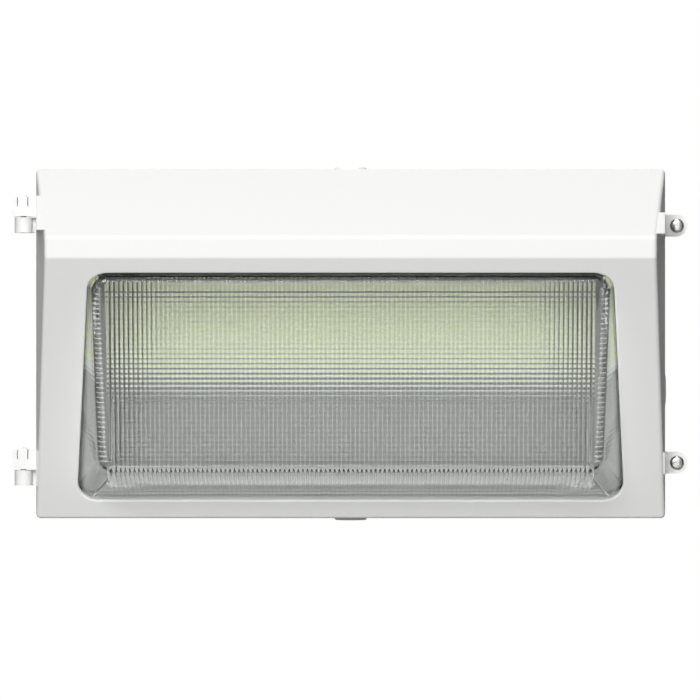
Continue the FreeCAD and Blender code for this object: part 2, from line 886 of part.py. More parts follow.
def led_heatsink():
    """One extrusion: front plate, two webs with feet, and fins between them."""
    body = new_body("heatsink_body")
    foot_back = "-pad_front"
    foot_front = "-pad_front - sink_flange_thickness"
    plate_back = "-sink_front + sink_plate"
    profile = new_sketch(
        body,
        "heatsink_profile",
        "YZ_Plane",
        "0",
        [
            ("-sink_front", "sink_low"),
            (foot_front, "sink_low"),
            (foot_front, "sink_low - sink_flange"),
            (foot_back, "sink_low - sink_flange"),
            (foot_back, "sink_low + sink_web"),
            (plate_back, "sink_low + sink_web"),
            (plate_back, "sink_high - sink_web"),
            (foot_back, "sink_high - sink_web"),
            (foot_back, "sink_high + sink_flange"),
            (foot_front, "sink_high + sink_flange"),
            (foot_front, "sink_high"),
            ("-sink_front", "sink_high"),
        ],
    )
    pad(body, profile, "2 * sink_half", both_ways=True)
    for index, share in enumerate((0.25, 0.5, 0.75)):
        level = f"sink_low + (sink_high - sink_low) * {share}"
        fin = new_sketch(
            body,
            f"heatsink_fin_{index}",
            "YZ_Plane",
            "0",
            rectangle(
                (f"{plate_back} - 0.5", "-pad_front - 2"),
                (f"{level} - sink_fin / 2", f"{level} + sink_fin / 2"),
            ),
        )
        pad(body, fin, "2 * sink_half", both_ways=True)
    holes = [
        rod(f"foot_hole_{tag}", "small_shank_radius", x, (f"{foot_front} - 1", f"{foot_back} + 1"), z)
        for tag, x, z in sink_screw_spots()
    ]
    for tag, x, z in board_screw_spots():
        span = ("-sink_front - 1", "-sink_front + sink_plate + 1")
        holes.append(rod(f"tap_hole_{tag}", "small_shank_radius", x, span, z))
    for side, way in SIDES.items():
        outer, inner = "sink_half + 1", "sink_half - clamp_screw_reach - 1"
        ends = sorted((f"{way} * ({outer})", f"{way} * ({inner})"), key=num)
        level_y = "-sink_front + sink_plate / 2"
        holes.append(rod(f"end_hole_{side}", "clamp_screw_radius", tuple(ends), level_y, "clamp_level"))
    return node("led_heatsink", cut("heatsink", body, *holes))


def heatsink_screws():
    seat = "pad_front + sink_flange_thickness"
    screws = [
        small_screw(f"heatsink_screw_{tag}", x, z, seat, "small_shank_length")
        for tag, x, z in sink_screw_spots()
    ]
    node("heatsink_screws", group("heatsink_screw_group", screws))


def board_screw_spots():
    """Screw places midway between chips, on the board's middle line."""
    spots = []
    for side, way in SIDES.items():
        for index in (2, 10, 18):
            x = f"{way} * chip_pitch_x * {index}"
            spots.append((f"{side}_{index}", x, "sink_mid + chip_field_rise"))
    return spots


def led_boards():
    """Two metal-core boards end to end, cut round nothing but their screws."""
    for side, way in SIDES.items():
        span = sorted((f"{way} * board_split", f"{way} * (sink_half - 0.5)"), key=num)
        plate = block(
            f"board_plate_{side}",
            tuple(span),
            ("-board_front", "-sink_front"),
            ("sink_low + board_margin", "sink_high - board_margin"),
        )
        holes = [
            rod(f"board_hole_{tag}", "small_shank_radius", x, ("-board_front - 1", "-sink_front + 1"), z)
            for tag, x, z in board_screw_spots()
            if tag.startswith(side)
        ]
        node(f"led_board_{side}", cut(f"board_{side}", plate, *holes))


def board_screws():
    head = ("board_screw_radius", "board_screw_head")
    screws = [
        small_screw(f"board_screw_{tag}", x, z, "board_front", "sink_plate", *head)
        for tag, x, z in board_screw_spots()
    ]
    node("board_screws", group("board_screw_group", screws))


def led_chips():
    """Rows of square packages on the boards, all alike."""
    side, height = num("chip_side"), num("chip_height")
    pitch_x, pitch_z = num("chip_pitch_x"), num("chip_pitch_z")
    columns, rows = int(num("chip_columns")), int(num("chip_rows"))
    front, middle = num("board_front"), num("sink_mid + chip_field_rise")
    packages = []
    for column in range(2 * columns):
        x = (column - columns + 0.5) * pitch_x
        for row in range(rows):
            z = middle + (row - (rows - 1) / 2) * pitch_z
            corner = Vector(x - side / 2, -front - height, z - side / 2)
            packages.append(Part.makeBox(side, height, side, corner))
    chips = DOC.addObject("Part::Feature", "chip_array")
    chips.Shape = Part.makeCompound(packages)
    return node("led_chips", chips)


SOCKET_END = "sink_high - board_margin - socket_height + socket_lead_reach"


def board_fittings():
    """The link between the boards and the socket that the supply leads enter."""
    front = "-board_front"
    link = block(
        "link_block",
        ("-jumper_half", "jumper_half"),
        (f"{front} - jumper_depth", front),
        ("sink_low + board_margin + 1", "sink_low + board_margin + 1 + jumper_height"),
    )
    node("board_jumper", link)
    socket = block(
        "socket_block",
        ("grommet_x - socket_half", "grommet_x + socket_half"),
        (f"{front} - socket_depth", front),
        ("sink_high - board_margin - socket_height", "sink_high - board_margin"),
    )
    level, span = "-board_front - socket_depth / 2", (SOCKET_END, "sink_high")
    holes = [
        rod(f"socket_hole_{side}", "lead_radius", x, level, span) for side, x in DC_LEADS.items()
    ]
    node("lead_connector", cut("socket", socket, *holes))


def board_clamps():
    """A small block at each end of the carrier, with a lip over the board, and its screw."""
    screws = []
    for side, way in SIDES.items():
        out = f"{way} * (sink_half + clamp_out)"
        z = ("clamp_level - clamp_length / 2", "clamp_level + clamp_length / 2")
        lip_front = "-board_front - clamp_lip_thickness"
        body_x = sorted((f"{way} * sink_half", out), key=num)
        lip_x = sorted((f"{way} * (sink_half - clamp_lip)", out), key=num)
        base = block(f"clamp_block_{side}", tuple(body_x), (lip_front, "-tray_front - 0.6"), z)
        lip = block(f"clamp_lip_{side}", tuple(lip_x), (lip_front, "-board_front"), z)
        bore_x = sorted((f"{way} * (sink_half - 1)", f"{way} * (sink_half + clamp_out + 1)"), key=num)
        level_y = "-sink_front + sink_plate / 2"
        bore = rod(f"clamp_bore_{side}", "clamp_screw_radius", tuple(bore_x), level_y, "clamp_level")
        node(f"board_clamp_{side}", cut(f"clamp_{side}", fuse(f"clamp_{side}_blank", base, lip), bore))
        head_x = sorted((out, f"{out} + {way} * clamp_screw_head"), key=num)
        shank_x = sorted((out, f"{way} * (sink_half - clamp_screw_reach)"), key=num)
        head = rod(f"clamp_head_{side}", "2 * clamp_screw_radius", tuple(head_x), level_y, "clamp_level")
        shank = rod(f"clamp_shank_{side}", "clamp_screw_radius", tuple(shank_x), level_y, "clamp_level")
        screws.append(fuse(f"clamp_screw_{side}", head, shank))
    node("clamp_screws", group("clamp_screw_group", screws))


# ---------------------------------------------------------------------------------------------
# Reflector tray and gear behind it
# ---------------------------------------------------------------------------------------------


def reflector_tray():
    """A white sheet with a hem turned back all round and a window for the LED carrier."""
    body = new_body("tray_body")
    half_x, half_z = "tray_half_x", "tray_half_z"
    face = new_sketch(body, "tray_face", "XZ_Plane", "tray_back", centred(half_x, half_z))
    pad(body, face, "tray_sheet")
    inner = centred(f"{half_x} - tray_sheet", f"{half_z} - tray_sheet")
    hem = new_sketch(body, "tray_hem", "XZ_Plane", "tray_back", centred(half_x, half_z), inner)
    pad(body, hem, "tray_hem", back=True)
    round_edges(body, "tray_corners", "tray_sheet * 2", lambda m, way, e: tray_corner(m, way))
    window = new_sketch(
        body,
        "tray_window",
        "XZ_Plane",
        "tray_front + 1",
        rectangle(
            ("-sink_half - tray_window_gap", "sink_half + tray_window_gap"),
            ("sink_low - tray_window_gap", "sink_high + tray_window_gap"),
        ),
    )
    pocket(body, window, "tray_sheet + 2")
    through = ("-tray_front - 1", "-tray_back + 1")
    holes = [
        rod(f"tray_hole_{tag}", "small_shank_radius", x, through, z)
        for tag, x, z in tray_screw_spots()
    ]
    lead_hole = rod("tray_lead_hole", "grommet_radius", "grommet_x", through, "grommet_z")
    return node("reflector_tray", cut("tray", body, lead_hole, *holes))


def tray_corner(middle, way):
    """Outer corners of the tray: edges along Y at the full half width and half height."""
    at_side = abs(abs(middle.x) - num("tray_half_x")) < 0.01
    at_end = abs(abs(middle.z) - num("tray_half_z")) < 0.01
    return abs(way.y) > 0.9 and at_side and at_end


def tray_screw_spots():
    return [
        (f"{across + 1}{up + 1}", f"{across} * post_x", f"{up} * post_z")
        for across in (-1, 1)
        for up in (-1, 1)
    ]


def tray_screws():
    screws = [
        small_screw(f"tray_screw_{tag}", x, z, "tray_front", "small_shank_length")
        for tag, x, z in tray_screw_spots()
    ]
    node("tray_screws", group("tray_screw_group", screws))


def lead_grommet():
    """A rubber bush in the tray: a waist in the hole and a lip on each side."""
    front, back = "-tray_front", "-tray_back"
    x, z = "grommet_x", "grommet_z"
    waist = rod("grommet_waist", "grommet_radius", x, (front, back), z)
    lip = "grommet_radius + grommet_lip"
    outer = rod("grommet_front", lip, x, (f"{front} - grommet_lip_thickness", front), z)
    inner = rod("grommet_back", lip, x, (back, f"{back} + grommet_lip_thickness"), z)
    bores = [
        rod(f"grommet_bore_{side}", "lead_radius", lead_x, (f"{front} - 3", f"{back} + 3"), z)
        for side, lead_x in DC_LEADS.items()
    ]
    node("lead_grommet", cut("grommet", fuse("grommet_blank", waist, outer, inner), *bores))


def driver():
    """A folded steel case with ears, and the plastic caps that close its ends."""
    half = "driver_length / 2"
    left, right = f"driver_x - {half}", f"driver_x + {half}"
    low, high = "driver_z - driver_height / 2", "driver_z + driver_height / 2"
    base, front = "-gear_base", "-gear_base - driver_depth"
    sheet = "driver_sheet"
    outer = block("driver_outer", (left, right), (front, base), (low, high))
    inner = block(
        "driver_inner",
        (f"{left} - 1", f"{right} + 1"),
        (f"{front} + {sheet}", f"{base} - {sheet}"),
        (f"{low} + {sheet}", f"{high} - {sheet}"),
    )
    ears = block(
        "driver_ears",
        (f"{left} - driver_ear", f"{right} + driver_ear"),
        (f"{base} - {sheet}", base),
        ("driver_z - driver_ear_half", "driver_z + driver_ear_half"),
    )
    case = fuse("driver_sheetwork", cut("driver_tube", outer, inner), ears)
    holes = [
        rod(f"driver_hole_{name}", "small_shank_radius", x, (f"{base} - {sheet} - 1", f"{base} + 1"), z)
        for name, x, z in GEAR_POSTS
        if name.startswith("driver")
    ]
    node("driver_case", cut("driver", case, *holes))
    caps = []
    for side, (near, far) in {
        "left": (left, f"{left} + driver_cap"),
        "right": (f"{right} - driver_cap", right),
    }.items():
        cap = block(
            f"cap_block_{side}",
            (near, far),
            (f"{front} + {sheet}", f"{base} - {sheet}"),
            (f"{low} + {sheet}", f"{high} - {sheet}"),
        )
        leads = [
            rod(f"cap_bore_{side}_{name}", "lead_radius", (f"{near} - 1", f"{far} + 1"), y, z)
            for name, y, z in CAP_LEADS[side]
        ]
        caps.append(cut(f"driver_cap_{side}", cap, *leads))
    node("driver_end_caps", group("driver_cap_group", caps))


DC_LEADS = {
    "positive": "grommet_x - grommet_lead_offset",
    "negative": "grommet_x + grommet_lead_offset",
}

CAP_LEADS = {
    "left": [
        ("positive", "-gear_base - 24", "driver_z - 8"),
        ("negative", "-gear_base - 24", "driver_z + 2"),
    ],
    "right": [
        ("line", "-gear_base - 16", "driver_z - 12"),
        ("neutral", "-gear_base - 24", "driver_z - 2"),
    ],
}


def gear_screws():
    for label, name_start, seat in (
        ("driver_screws", "driver", "gear_base + driver_sheet"),
        ("surge_screw", "surge", "gear_base + driver_sheet"),
        ("terminal_fixing_screw", "terminal", "gear_base + terminal_depth - terminal_well"),
    ):
        length = "gear_screw_length" if name_start != "terminal" else "terminal_depth - 1"
        screws = [
            small_screw(f"{label}_{name}", x, z, seat, length)
            for name, x, z in GEAR_POSTS
            if name.startswith(name_start)
        ]
        node(label, group(f"{label}_group", screws))
    name, x, z = GEAR_POSTS[-1]
    seat = "gear_base + ground_tag_thickness"
    screw = small_screw(
        "ground", x, z, seat, "gear_screw_length", "ground_head_radius", "ground_head_height"
    )
    node("ground_screw", screw)
    tag = rod("ground_tag_disc", "ground_tag_radius", x, (f"-({seat})", "-gear_base"), z)
    hole = rod("ground_tag_hole", "small_shank_radius", x, (f"-({seat}) - 1", "-gear_base + 1"), z)
    node("ground_tag", cut("ground_tag_ring", tag, hole))


def surge_protector():
    left, right = "surge_x - surge_length / 2", "surge_x + surge_length / 2"
    low, high = "surge_z - surge_height / 2", "surge_z + surge_height / 2"
    body = block("surge_block", (left, right), ("-gear_base - surge_depth", "-gear_base"), (low, high))
    ear = block(
        "surge_ear",
        (f"{right} - 1", f"{right} + driver_ear"),
        ("-gear_base - driver_sheet", "-gear_base"),
        ("surge_z - surge_ear_half", "surge_z + surge_ear_half"),
    )
    name, x, z = GEAR_POSTS[2]
    hole = rod("surge_hole", "small_shank_radius", x, ("-gear_base - driver_sheet - 1", "0"), z)
    node("surge_protector", cut("surge", fuse("surge_blank", body, ear), hole))


def terminal_block():
    """A three-way block with a well for its fixing screw and a screw over each way."""
    half_x, half_z = "terminal_length / 2", "terminal_height / 2"
    front = "-gear_base - terminal_depth"
    body = block(
        "terminal_body",
        (f"terminal_x - {half_x}", f"terminal_x + {half_x}"),
        (front, "-gear_base"),
        (f"terminal_z - {half_z}", f"terminal_z + {half_z}"),
    )
    x, z = "terminal_x", "terminal_z"
    well = (f"{front} - 1", f"{front} + terminal_well")
    cuts = [
        rod("terminal_well", "small_head_radius + 0.4", x, well, z),
        rod("terminal_bore", "small_shank_radius", x, (f"{front} - 1", "-gear_base + 1"), z),
    ]
    screws = []
    for index in range(3):
        place = f"terminal_x + {index - 1} * terminal_pitch"
        for end, offset in (("low", "-terminal_screw_offset"), ("high", "terminal_screw_offset")):
            level = f"terminal_z + {offset}"
            name = f"terminal_screw_{index}_{end}"
            well = (f"{front} - 1", f"{front} + 3")
            cuts.append(rod(f"{name}_well", "terminal_screw_radius + 0.1", place, well, level))
            span = (f"{front} + 1", f"{front} + 3")
            screws.append(rod(name, "terminal_screw_radius", place, span, level))
    for name, (place, level) in TERMINAL_LEADS.items():
        span = (f"terminal_z + {half_z} - 2", f"terminal_z + {half_z} + 1")
        cuts.append(rod(f"terminal_entry_{name}", "lead_radius", place, level, span))
    node("terminal_block", cut("terminal", body, *cuts))
    node("terminal_screws", group("terminal_screw_group", screws))


TERMINAL_LEADS = {
    "line": ("terminal_x - terminal_pitch", "-gear_base - 9"),
    "neutral": ("terminal_x", "-gear_base - 9"),
}


# ---------------------------------------------------------------------------------------------
# Internal leads
# ---------------------------------------------------------------------------------------------


def lead(label, corners):
    """A round lead along straight runs joined by arcs that touch them."""
    spots = [Vector(*(num(place) for place in corner)) for corner in corners]
    edges = []
    here = spots[0]
    for before, corner, after in zip(spots, spots[1:], spots[2:]):
        into = (corner - before).normalize()
        out = (after - corner).normalize()
        turn = into.getAngle(out)
        reach = num("lead_bend") * math.tan(turn / 2)
        start, end = corner - into * reach, corner + out * reach
        bisector = (out - into).normalize()
        centre_gap = num("lead_bend") / math.cos(turn / 2)
        middle = corner + bisector * (centre_gap - num("lead_bend"))
        edges.append(Part.LineSegment(here, start).toShape())
        edges.append(Part.Arc(start, middle, end).toShape())
        here = end
    edges.append(Part.LineSegment(here, spots[-1]).toShape())
    path = Part.Wire(edges)
    way = (spots[1] - spots[0]).normalize()
    section = Part.Wire([Part.makeCircle(num("lead_radius"), spots[0], way)])
    tube = path.makePipeShell([section], True, False)
    expected = math.pi * num("lead_radius") ** 2 * path.Length
    print(f"{label}: length {path.Length:.1f}, volume {tube.Volume / expected:.4f} of section x length")
    piece = DOC.addObject("Part::Feature", f"{label}_tube")
    piece.Shape = tube
    return node(label, piece)


def internal_leads():
    """Supply leads from the block to the driver, and output leads through the tray to the board."""
    cap_right = "driver_x + driver_length / 2"
    block_top = "terminal_z + terminal_height / 2"
    supply = {
        "line": ("-sink_half - 14", f"{block_top} + 10", "sink_high + 18.5", "18"),
        "neutral": ("-sink_half - 7", f"{block_top} + 14", "sink_high + 14.5", "26"),
    }
    for name, y, z in CAP_LEADS["right"]:
        x, block_y = TERMINAL_LEADS[name]
        side_x, low, high, out = supply[name]
        corners = [
            (x, block_y, f"{block_top} - 2"),
            (x, block_y, low),
            (side_x, block_y, low),
            (side_x, block_y, high),
            (f"{cap_right} + {out}", y, high),
            (f"{cap_right} + {out}", y, z),
            (f"{cap_right} - driver_cap", y, z),
        ]
        lead(f"{name}_lead", corners)
    cap_left = "driver_x - driver_length / 2"
    output = {"positive": ("12", "14"), "negative": ("7", "18")}
    for name, y, z in CAP_LEADS["left"]:
        out, deep = output[name]
        side_x, deep_y = f"{cap_left} - {out}", f"-tray_back + {deep}"
        front_y = "-board_front - socket_depth / 2"
        corners = [
            (f"{cap_left} + driver_cap", y, z),
            (side_x, y, z),
            (side_x, deep_y, z),
            (side_x, deep_y, "grommet_z"),
            (DC_LEADS[name], deep_y, "grommet_z"),
            (DC_LEADS[name], front_y, "grommet_z"),
            (DC_LEADS[name], front_y, SOCKET_END),
        ]
        lead(f"dc_lead_{name}", corners)


# ---------------------------------------------------------------------------------------------
# Front casting
# ---------------------------------------------------------------------------------------------


def door_profile():
    """Side view of the front: rim, upper slope, nose and lower slope, as (y, z) corners."""
    return [
        ("door_back", "-half_z"),
        ("rim_front", "-half_z"),
        ("nose_front", "nose_level"),
        ("nose_front", "bend_level"),
        ("rim_front", "half_z"),
        ("door_back", "half_z"),
    ]


def opening_corners(gap, first="opening_bottom", second="opening_top", end_gap=None):
    """The lens opening, drawn in from its edge by a gap, in the frame of the sloped face."""
    end_gap = gap if end_gap is None else end_gap
    low, high = f"{first} + ({end_gap})", f"{second} - ({end_gap})"
    half_low = f"opening_half_bottom - ({gap}) - side_slant * ({end_gap})"
    half_high = f"opening_half_top - ({gap}) + side_slant * ({end_gap})"
    return [(f"-({half_low})", low), (half_low, low), (half_high, high), (f"-({half_high})", high)]


def is_upright(way):
    """True for an edge square to the sloped face."""
    angle = math.radians(num("slope_angle"))
    return abs(way.y * math.cos(angle) + way.z * math.sin(angle)) > 0.98


def slope_height(middle):
    """Distance of a point in front of the lower sloped face."""
    angle = math.radians(num("slope_angle"))
    across = Vector(0, -math.cos(angle), -math.sin(angle))
    return (middle - Vector(0, num("rim_front"), -num("half_z"))).dot(across)


def slope_place(middle):
    """Distance of a point up the lower sloped face from its bottom corner."""
    angle = math.radians(num("slope_angle"))
    along = Vector(0, -math.sin(angle), math.cos(angle))
    return (middle - Vector(0, num("rim_front"), -num("half_z"))).dot(along)


def side_wedge(way, draft):
    """Plan view of what a draft takes off one side, from the rim to the nose."""
    return [
        (f"{way} * half_w", "rim_front"),
        (f"{way} * (half_w + 1)", "rim_front"),
        (f"{way} * (half_w + 1)", "nose_front - 1"),
        (f"{way} * (half_w - {draft} * (slope_rise + 1) / slope_rise)", "nose_front - 1"),
    ]


def door_shell():
    """The hollow front: drafted at its sides, its back open, with a ledge and the lens opening."""
    body = new_body("door_shell")
    profile = new_sketch(body, "door_side_view", "YZ_Plane", "0", door_profile())
    pad(body, profile, "door_width", both_ways=True)
    wedges = [side_wedge(way, "door_side_draft") for way in SIDES.values()]
    draft = new_sketch(body, "door_draft", "XY_Plane", "0", *wedges)
    pocket(body, draft, "door_height + 10", both_ways=True)
    hollow_out(body, "door_hollow", "door_wall", Vector(0, 1, 0))
    ledge = new_sketch(
        body,
        "door_ledge",
        "XZ_Plane",
        "-door_back",
        centred("half_w - door_wall / 2", "half_z - door_wall / 2"),
        centred("half_w - rim_ledge_width", "half_z - rim_ledge_width"),
    )
    pad(body, ledge, "rim_ledge_depth")
    opening = slope_sketch(body, "door_opening", "2", opening_corners("0"))
    pocket(body, opening, "door_wall + 6")
    round_edges(body, "opening_corners", "opening_corner", opening_corner_edge)
    round_edges(body, "door_edges", "door_corner", door_outer_edge)
    round_edges(body, "opening_lip", "opening_lip", opening_outer_edge)
    return body


def door_outer_edge(middle, way, edge):
    """Outer edges of the front in front of its back plane, without those of the lens opening."""
    ahead = middle.y < num("door_back") - 0.5
    if not ahead:
        return False
    y, z = middle.y, middle.z
    top = num("half_z") - (num("rim_front") - y) / num("top_slant")
    low = -num("half_z") + (num("rim_front") - y) / num("low_slant")
    side = num("half_w") - max(0.0, num("rim_front") - y) * num("door_side_draft / slope_rise")
    on_side = abs(abs(middle.x) - side) < 0.02
    on_top = abs(z - top) < 0.02 or (y >= num("rim_front") - 0.01 and abs(abs(z) - num("half_z")) < 0.02)
    on_low = abs(z - low) < 0.02
    on_nose = abs(y - num("nose_front")) < 0.02
    across = abs(way.x) > 0.99
    if across:
        return (on_nose and (on_top or on_low)) or abs(y - num("rim_front")) < 0.02 and on_top
    return on_side and (on_top or on_low or on_nose or abs(abs(z) - num("half_z")) < 0.02)


def opening_corner_edge(middle, way, edge):
    """The four edges of the opening that run through the wall."""
    along = slope_place(middle)
    at_end = min(abs(along - num("opening_bottom")), abs(along - num("opening_top"))) < 0.01
    half = num("opening_half_bottom") - num("side_slant") * (along - num("opening_bottom"))
    return is_upright(way) and at_end and abs(abs(middle.x) - half) < 0.01


def opening_outer_edge(middle, way, edge):
    """The opening's edge on the sloped face."""
    if abs(slope_height(middle)) > 0.02 or is_upright(way):
        return False
    inside_x = abs(middle.x) < num("opening_half_bottom") + 1
    return inside_x and num("opening_bottom") - 1 < slope_place(middle) < num("opening_top") + 1


def lug_columns():
    """Straight columns over the drafted side walls, behind each hinge block and each ear."""
    parts = []
    for level, top in HINGE_TOPS.items():
        foot = knuckle_foot(level)
        parts.append(column(f"hinge_{level}", -1, foot, top))
    for level, centre in EAR_LEVELS.items():
        parts.append(column(f"ear_{level}", 1, f"{centre} - ear_radius", f"{centre} + ear_radius"))
    return parts


def column(name, way, low, high):
    """One column, drafted on its outer side and cut off a little behind the sloped faces."""
    body = new_body(f"column_{name}")
    if num(high) > 0:
        reach = "rim_front - (half_z - ({0})) * top_slant + column_inset"
    else:
        reach = "rim_front - (half_z + ({0})) * low_slant + column_inset"
    corners = [
        ("door_back", low),
        (reach.format(low), low),
        (reach.format(high), high),
        ("door_back", high),
    ]
    lift = "half_w - column_width" if way > 0 else "-half_w"
    sketch = new_sketch(body, f"column_{name}_side", "YZ_Plane", lift, corners)
    pad(body, sketch, "column_width")
    draft = new_sketch(body, f"column_{name}_draft", "XY_Plane", "0", side_wedge(way, "column_draft"))
    pocket(body, draft, "door_height + 10", both_ways=True)
    return body


def hinge_blocks():
    """Blocks that drop over the pins, each with a sprung tongue between two slits."""
    parts = []
    for level, top in HINGE_TOPS.items():
        z = (f"{top} - hinge_block_length", top)
        front = "hinge_y - hinge_block_radius"
        parts.append(rod(f"hinge_round_{level}", "hinge_block_radius", "hinge_x", "hinge_y", z))
        parts.append(block(f"hinge_block_{level}", ("block_edge", "-half_w + 2"), (front, "hinge_y"), z))
        parts.append(tongue(level, top))
    return parts


def tongue(level, top):
    """The domed top of the sprung tongue."""
    body = new_body(f"tongue_{level}")
    rise, half = "tongue_rise", "tongue_half"
    low = f"{top} - tongue_depth"
    sketch = new_sketch(
        body,
        f"tongue_{level}_front",
        "XZ_Plane",
        "-hinge_y - hinge_block_radius",
        [
            (f"hinge_x - {half}", low),
            (f"hinge_x + {half}", low),
            (f"hinge_x + {half}", f"{top} + 0.3"),
            (f"hinge_x + {half} / 2", f"{top} + {rise}"),
            (f"hinge_x - {half} / 2", f"{top} + {rise}"),
            (f"hinge_x - {half}", f"{top} + 0.3"),
        ],
    )
    pad(body, sketch, "2 * hinge_block_radius")
    return body


def hinge_cuts():
    """Slits beside the tongues and the bores for the pins."""
    cuts = []
    for level, top in HINGE_TOPS.items():
        for side, way in SIDES.items():
            near = f"hinge_x + {way} * tongue_half"
            far = f"hinge_x + {way} * (tongue_half + tongue_slit)"
            span = tuple(sorted((near, far), key=num))
            y = ("hinge_y - hinge_block_radius - 1", "hinge_y + hinge_block_radius + 1")
            cuts.append(block(f"slit_{level}_{side}", span, y, (f"{top} - tongue_depth", f"{top} + 1")))
        bore = (f"{top} - hinge_block_length - 1", f"{top} - pin_tip_gap")
        cuts.append(rod(f"pin_bore_{level}", "pin_radius + pin_play", "hinge_x", "hinge_y", bore))
    return cuts


def ears():
    """Round-ended ears that carry the captive screws, with a small round in each inner corner."""
    parts = []
    for level, centre in EAR_LEVELS.items():
        y = ("door_back - ear_depth", "door_back")
        z = (f"{centre} - ear_radius", f"{centre} + ear_radius")
        parts.append(rod(f"ear_round_{level}", "ear_radius", "ear_x", y, centre))
        parts.append(block(f"ear_block_{level}", ("half_w - 2", "ear_x"), y, z))
        parts.extend(ear_root(f"{level}_{side}", centre, way, y) for side, way in SIDES.items())
    return parts


def ear_root(name, centre, way, y):
    """The rounded inner corner between an ear's edge and the rim."""
    near, far = f"{centre} + {way} * (ear_radius - 0.5)", f"{centre} + {way} * (ear_radius + ear_root)"
    fill_z = tuple(sorted((near, far), key=num))
    fill = block(f"ear_fill_{name}", ("half_w - 1", "half_w + ear_root"), y, fill_z)
    scoop_y = ("door_back - ear_depth - 1", "door_back + 1")
    scoop = rod(f"ear_scoop_{name}", "ear_root", "half_w + ear_root", scoop_y, far)
    return cut(f"ear_root_{name}", fill, scoop)


def ear_bores():
    return [
        rod(
            f"ear_bore_{level}",
            "closure_shank_radius + closure_shank_play",
            "ear_x",
            ("door_back - ear_depth - 1", "door_back + 1"),
            centre,
        )
        for level, centre in EAR_LEVELS.items()
    ]


def seal_groove():
    """The groove in the rim's back that holds the seal."""
    outer_x, outer_z = "half_w - seal_inset", "half_z - seal_inset"
    outer = centred(outer_x, outer_z)
    inner = centred(f"{outer_x} - seal_width", f"{outer_z} - seal_width")
    return outer, inner


def door_frame():
    whole = fuse("door_cast", door_shell(), *lug_columns(), *hinge_blocks(), *ears(), *clip_bosses())
    groove_body = new_body("groove_body")
    groove = new_sketch(groove_body, "seal_groove", "XZ_Plane", "-door_back - 1", *seal_groove())
    pad(groove_body, groove, "seal_groove + 1")
    return node(
        "door_frame",
        cut("door", whole, groove_body, *hinge_cuts(), *ear_bores(), *clip_boss_holes()),
    )


def door_gasket():
    """The silicone seal: it fills its groove and bridges the gap to the housing's rim."""
    body = new_body("door_gasket_body")
    sketch = new_sketch(body, "door_gasket_ring", "XZ_Plane", "housing_depth", *seal_groove())
    pad(body, sketch, "seal_groove + door_gap")
    return node("door_gasket", body)


# ---------------------------------------------------------------------------------------------
# Glass and what holds it
# ---------------------------------------------------------------------------------------------


def glass_half(along, out, inset):
    """Half width of the glass at a place up the slope and out from it, drawn in by an inset."""
    edge = f"opening_half_bottom - glass_gap - side_slant * ({along} - opening_bottom)"
    return f"{edge} - glass_side_draft * ({out}) - ({inset}) * glass_side_factor"


def glass_outline(out, inset):
    """The bulge's width at one height over the slope, long enough to be cut by the side view."""
    low, high = "0", "opening_top + 20"
    half_low, half_high = glass_half(low, out, inset), glass_half(high, out, inset)
    return [(f"-({half_low})", low), (half_low, low), (half_high, high), (f"-({half_high})", high)]


def glass_section(inset, deep):
    """Side view of the bulge in the frame of the slope, all faces drawn in by an inset."""
    low = f"glass_low + ({inset})"
    high = f"glass_high - ({inset})"
    spread = f"({inset}) / (1 + cos(glass_low_angle + glass_front_angle))"
    fold_along = f"glass_fold_along + {spread} * (sin(glass_low_angle) - sin(glass_front_angle))"
    fold_out = f"glass_fold_out - {spread} * (cos(glass_low_angle) + cos(glass_front_angle))"
    base_out = f"{fold_out} - ({fold_along} - ({low})) * tan(glass_low_angle)"
    top_out = f"{fold_out} - ({high} - ({fold_along})) * tan(glass_front_angle)"
    return [
        (f"-({deep})", low),
        (f"-({base_out})", low),
        (f"-({fold_out})", fold_along),
        (f"-({top_out})", high),
        (f"-({deep})", high),
    ]


def glass_solid(name, inset, deep):
    """The wedge-shaped bulge as a solid, rounded at its corners and folds."""
    body = new_body(f"glass_{name}")
    far = "glass_fold_out + 5"
    base = slope_sketch(body, f"glass_{name}_base", deep, glass_outline(deep, inset))
    top = slope_sketch(body, f"glass_{name}_cap", far, glass_outline(far, inset))
    loft(body, base, top)
    side = section_sketch(
        body,
        f"glass_{name}_side_view",
        rectangle(("-glass_fold_out - 20", f"-({deep}) + 5"), ("-10", "opening_top + 40")),
        glass_section(inset, deep),
    )
    pocket(body, side, "door_width + 40", both_ways=True)
    corner = f"max(opening_corner - glass_gap - ({inset}); 0.5)"
    round_edges(body, f"glass_{name}_corners", corner, glass_corner_edge)
    round_edges(body, f"glass_{name}_folds", f"max(glass_fold_radius - ({inset}); 0.5)", glass_fold_edge)
    return body


def glass_refractor():
    """A wedge-shaped bulge, thick walled, with a flange that is clamped behind the opening."""
    outer = glass_solid("outer", "0", "flange_back")
    inner = glass_solid("inner", "glass_wall", "flange_back - 2")
    flange = new_body("glass_flange_body")
    sketch = slope_sketch(
        flange,
        "glass_flange",
        "flange_back",
        opening_corners("-glass_flange_side", end_gap="-glass_flange_end"),
    )
    pad(flange, sketch, "glass_flange")
    return node("glass_refractor", cut("glass", fuse("glass_blank", outer, flange), inner))


def glass_corner_edge(middle, way, edge):
    """The four corners of the bulge, which run out from the slope."""
    angle = math.radians(num("slope_angle"))
    spread = abs(way.y * math.cos(angle) + way.z * math.sin(angle))
    return spread > 0.55 and abs(way.x) < 0.4


def glass_fold_edge(middle, way, edge):
    """The fold across the glass, the edge at its top and the edges of its front face."""
    lowest, deepest = num("glass_fold_along") - 12, num("-door_wall * 2")
    in_front = slope_place(middle) > lowest and slope_height(middle) > deepest
    return in_front and not is_upright(way)


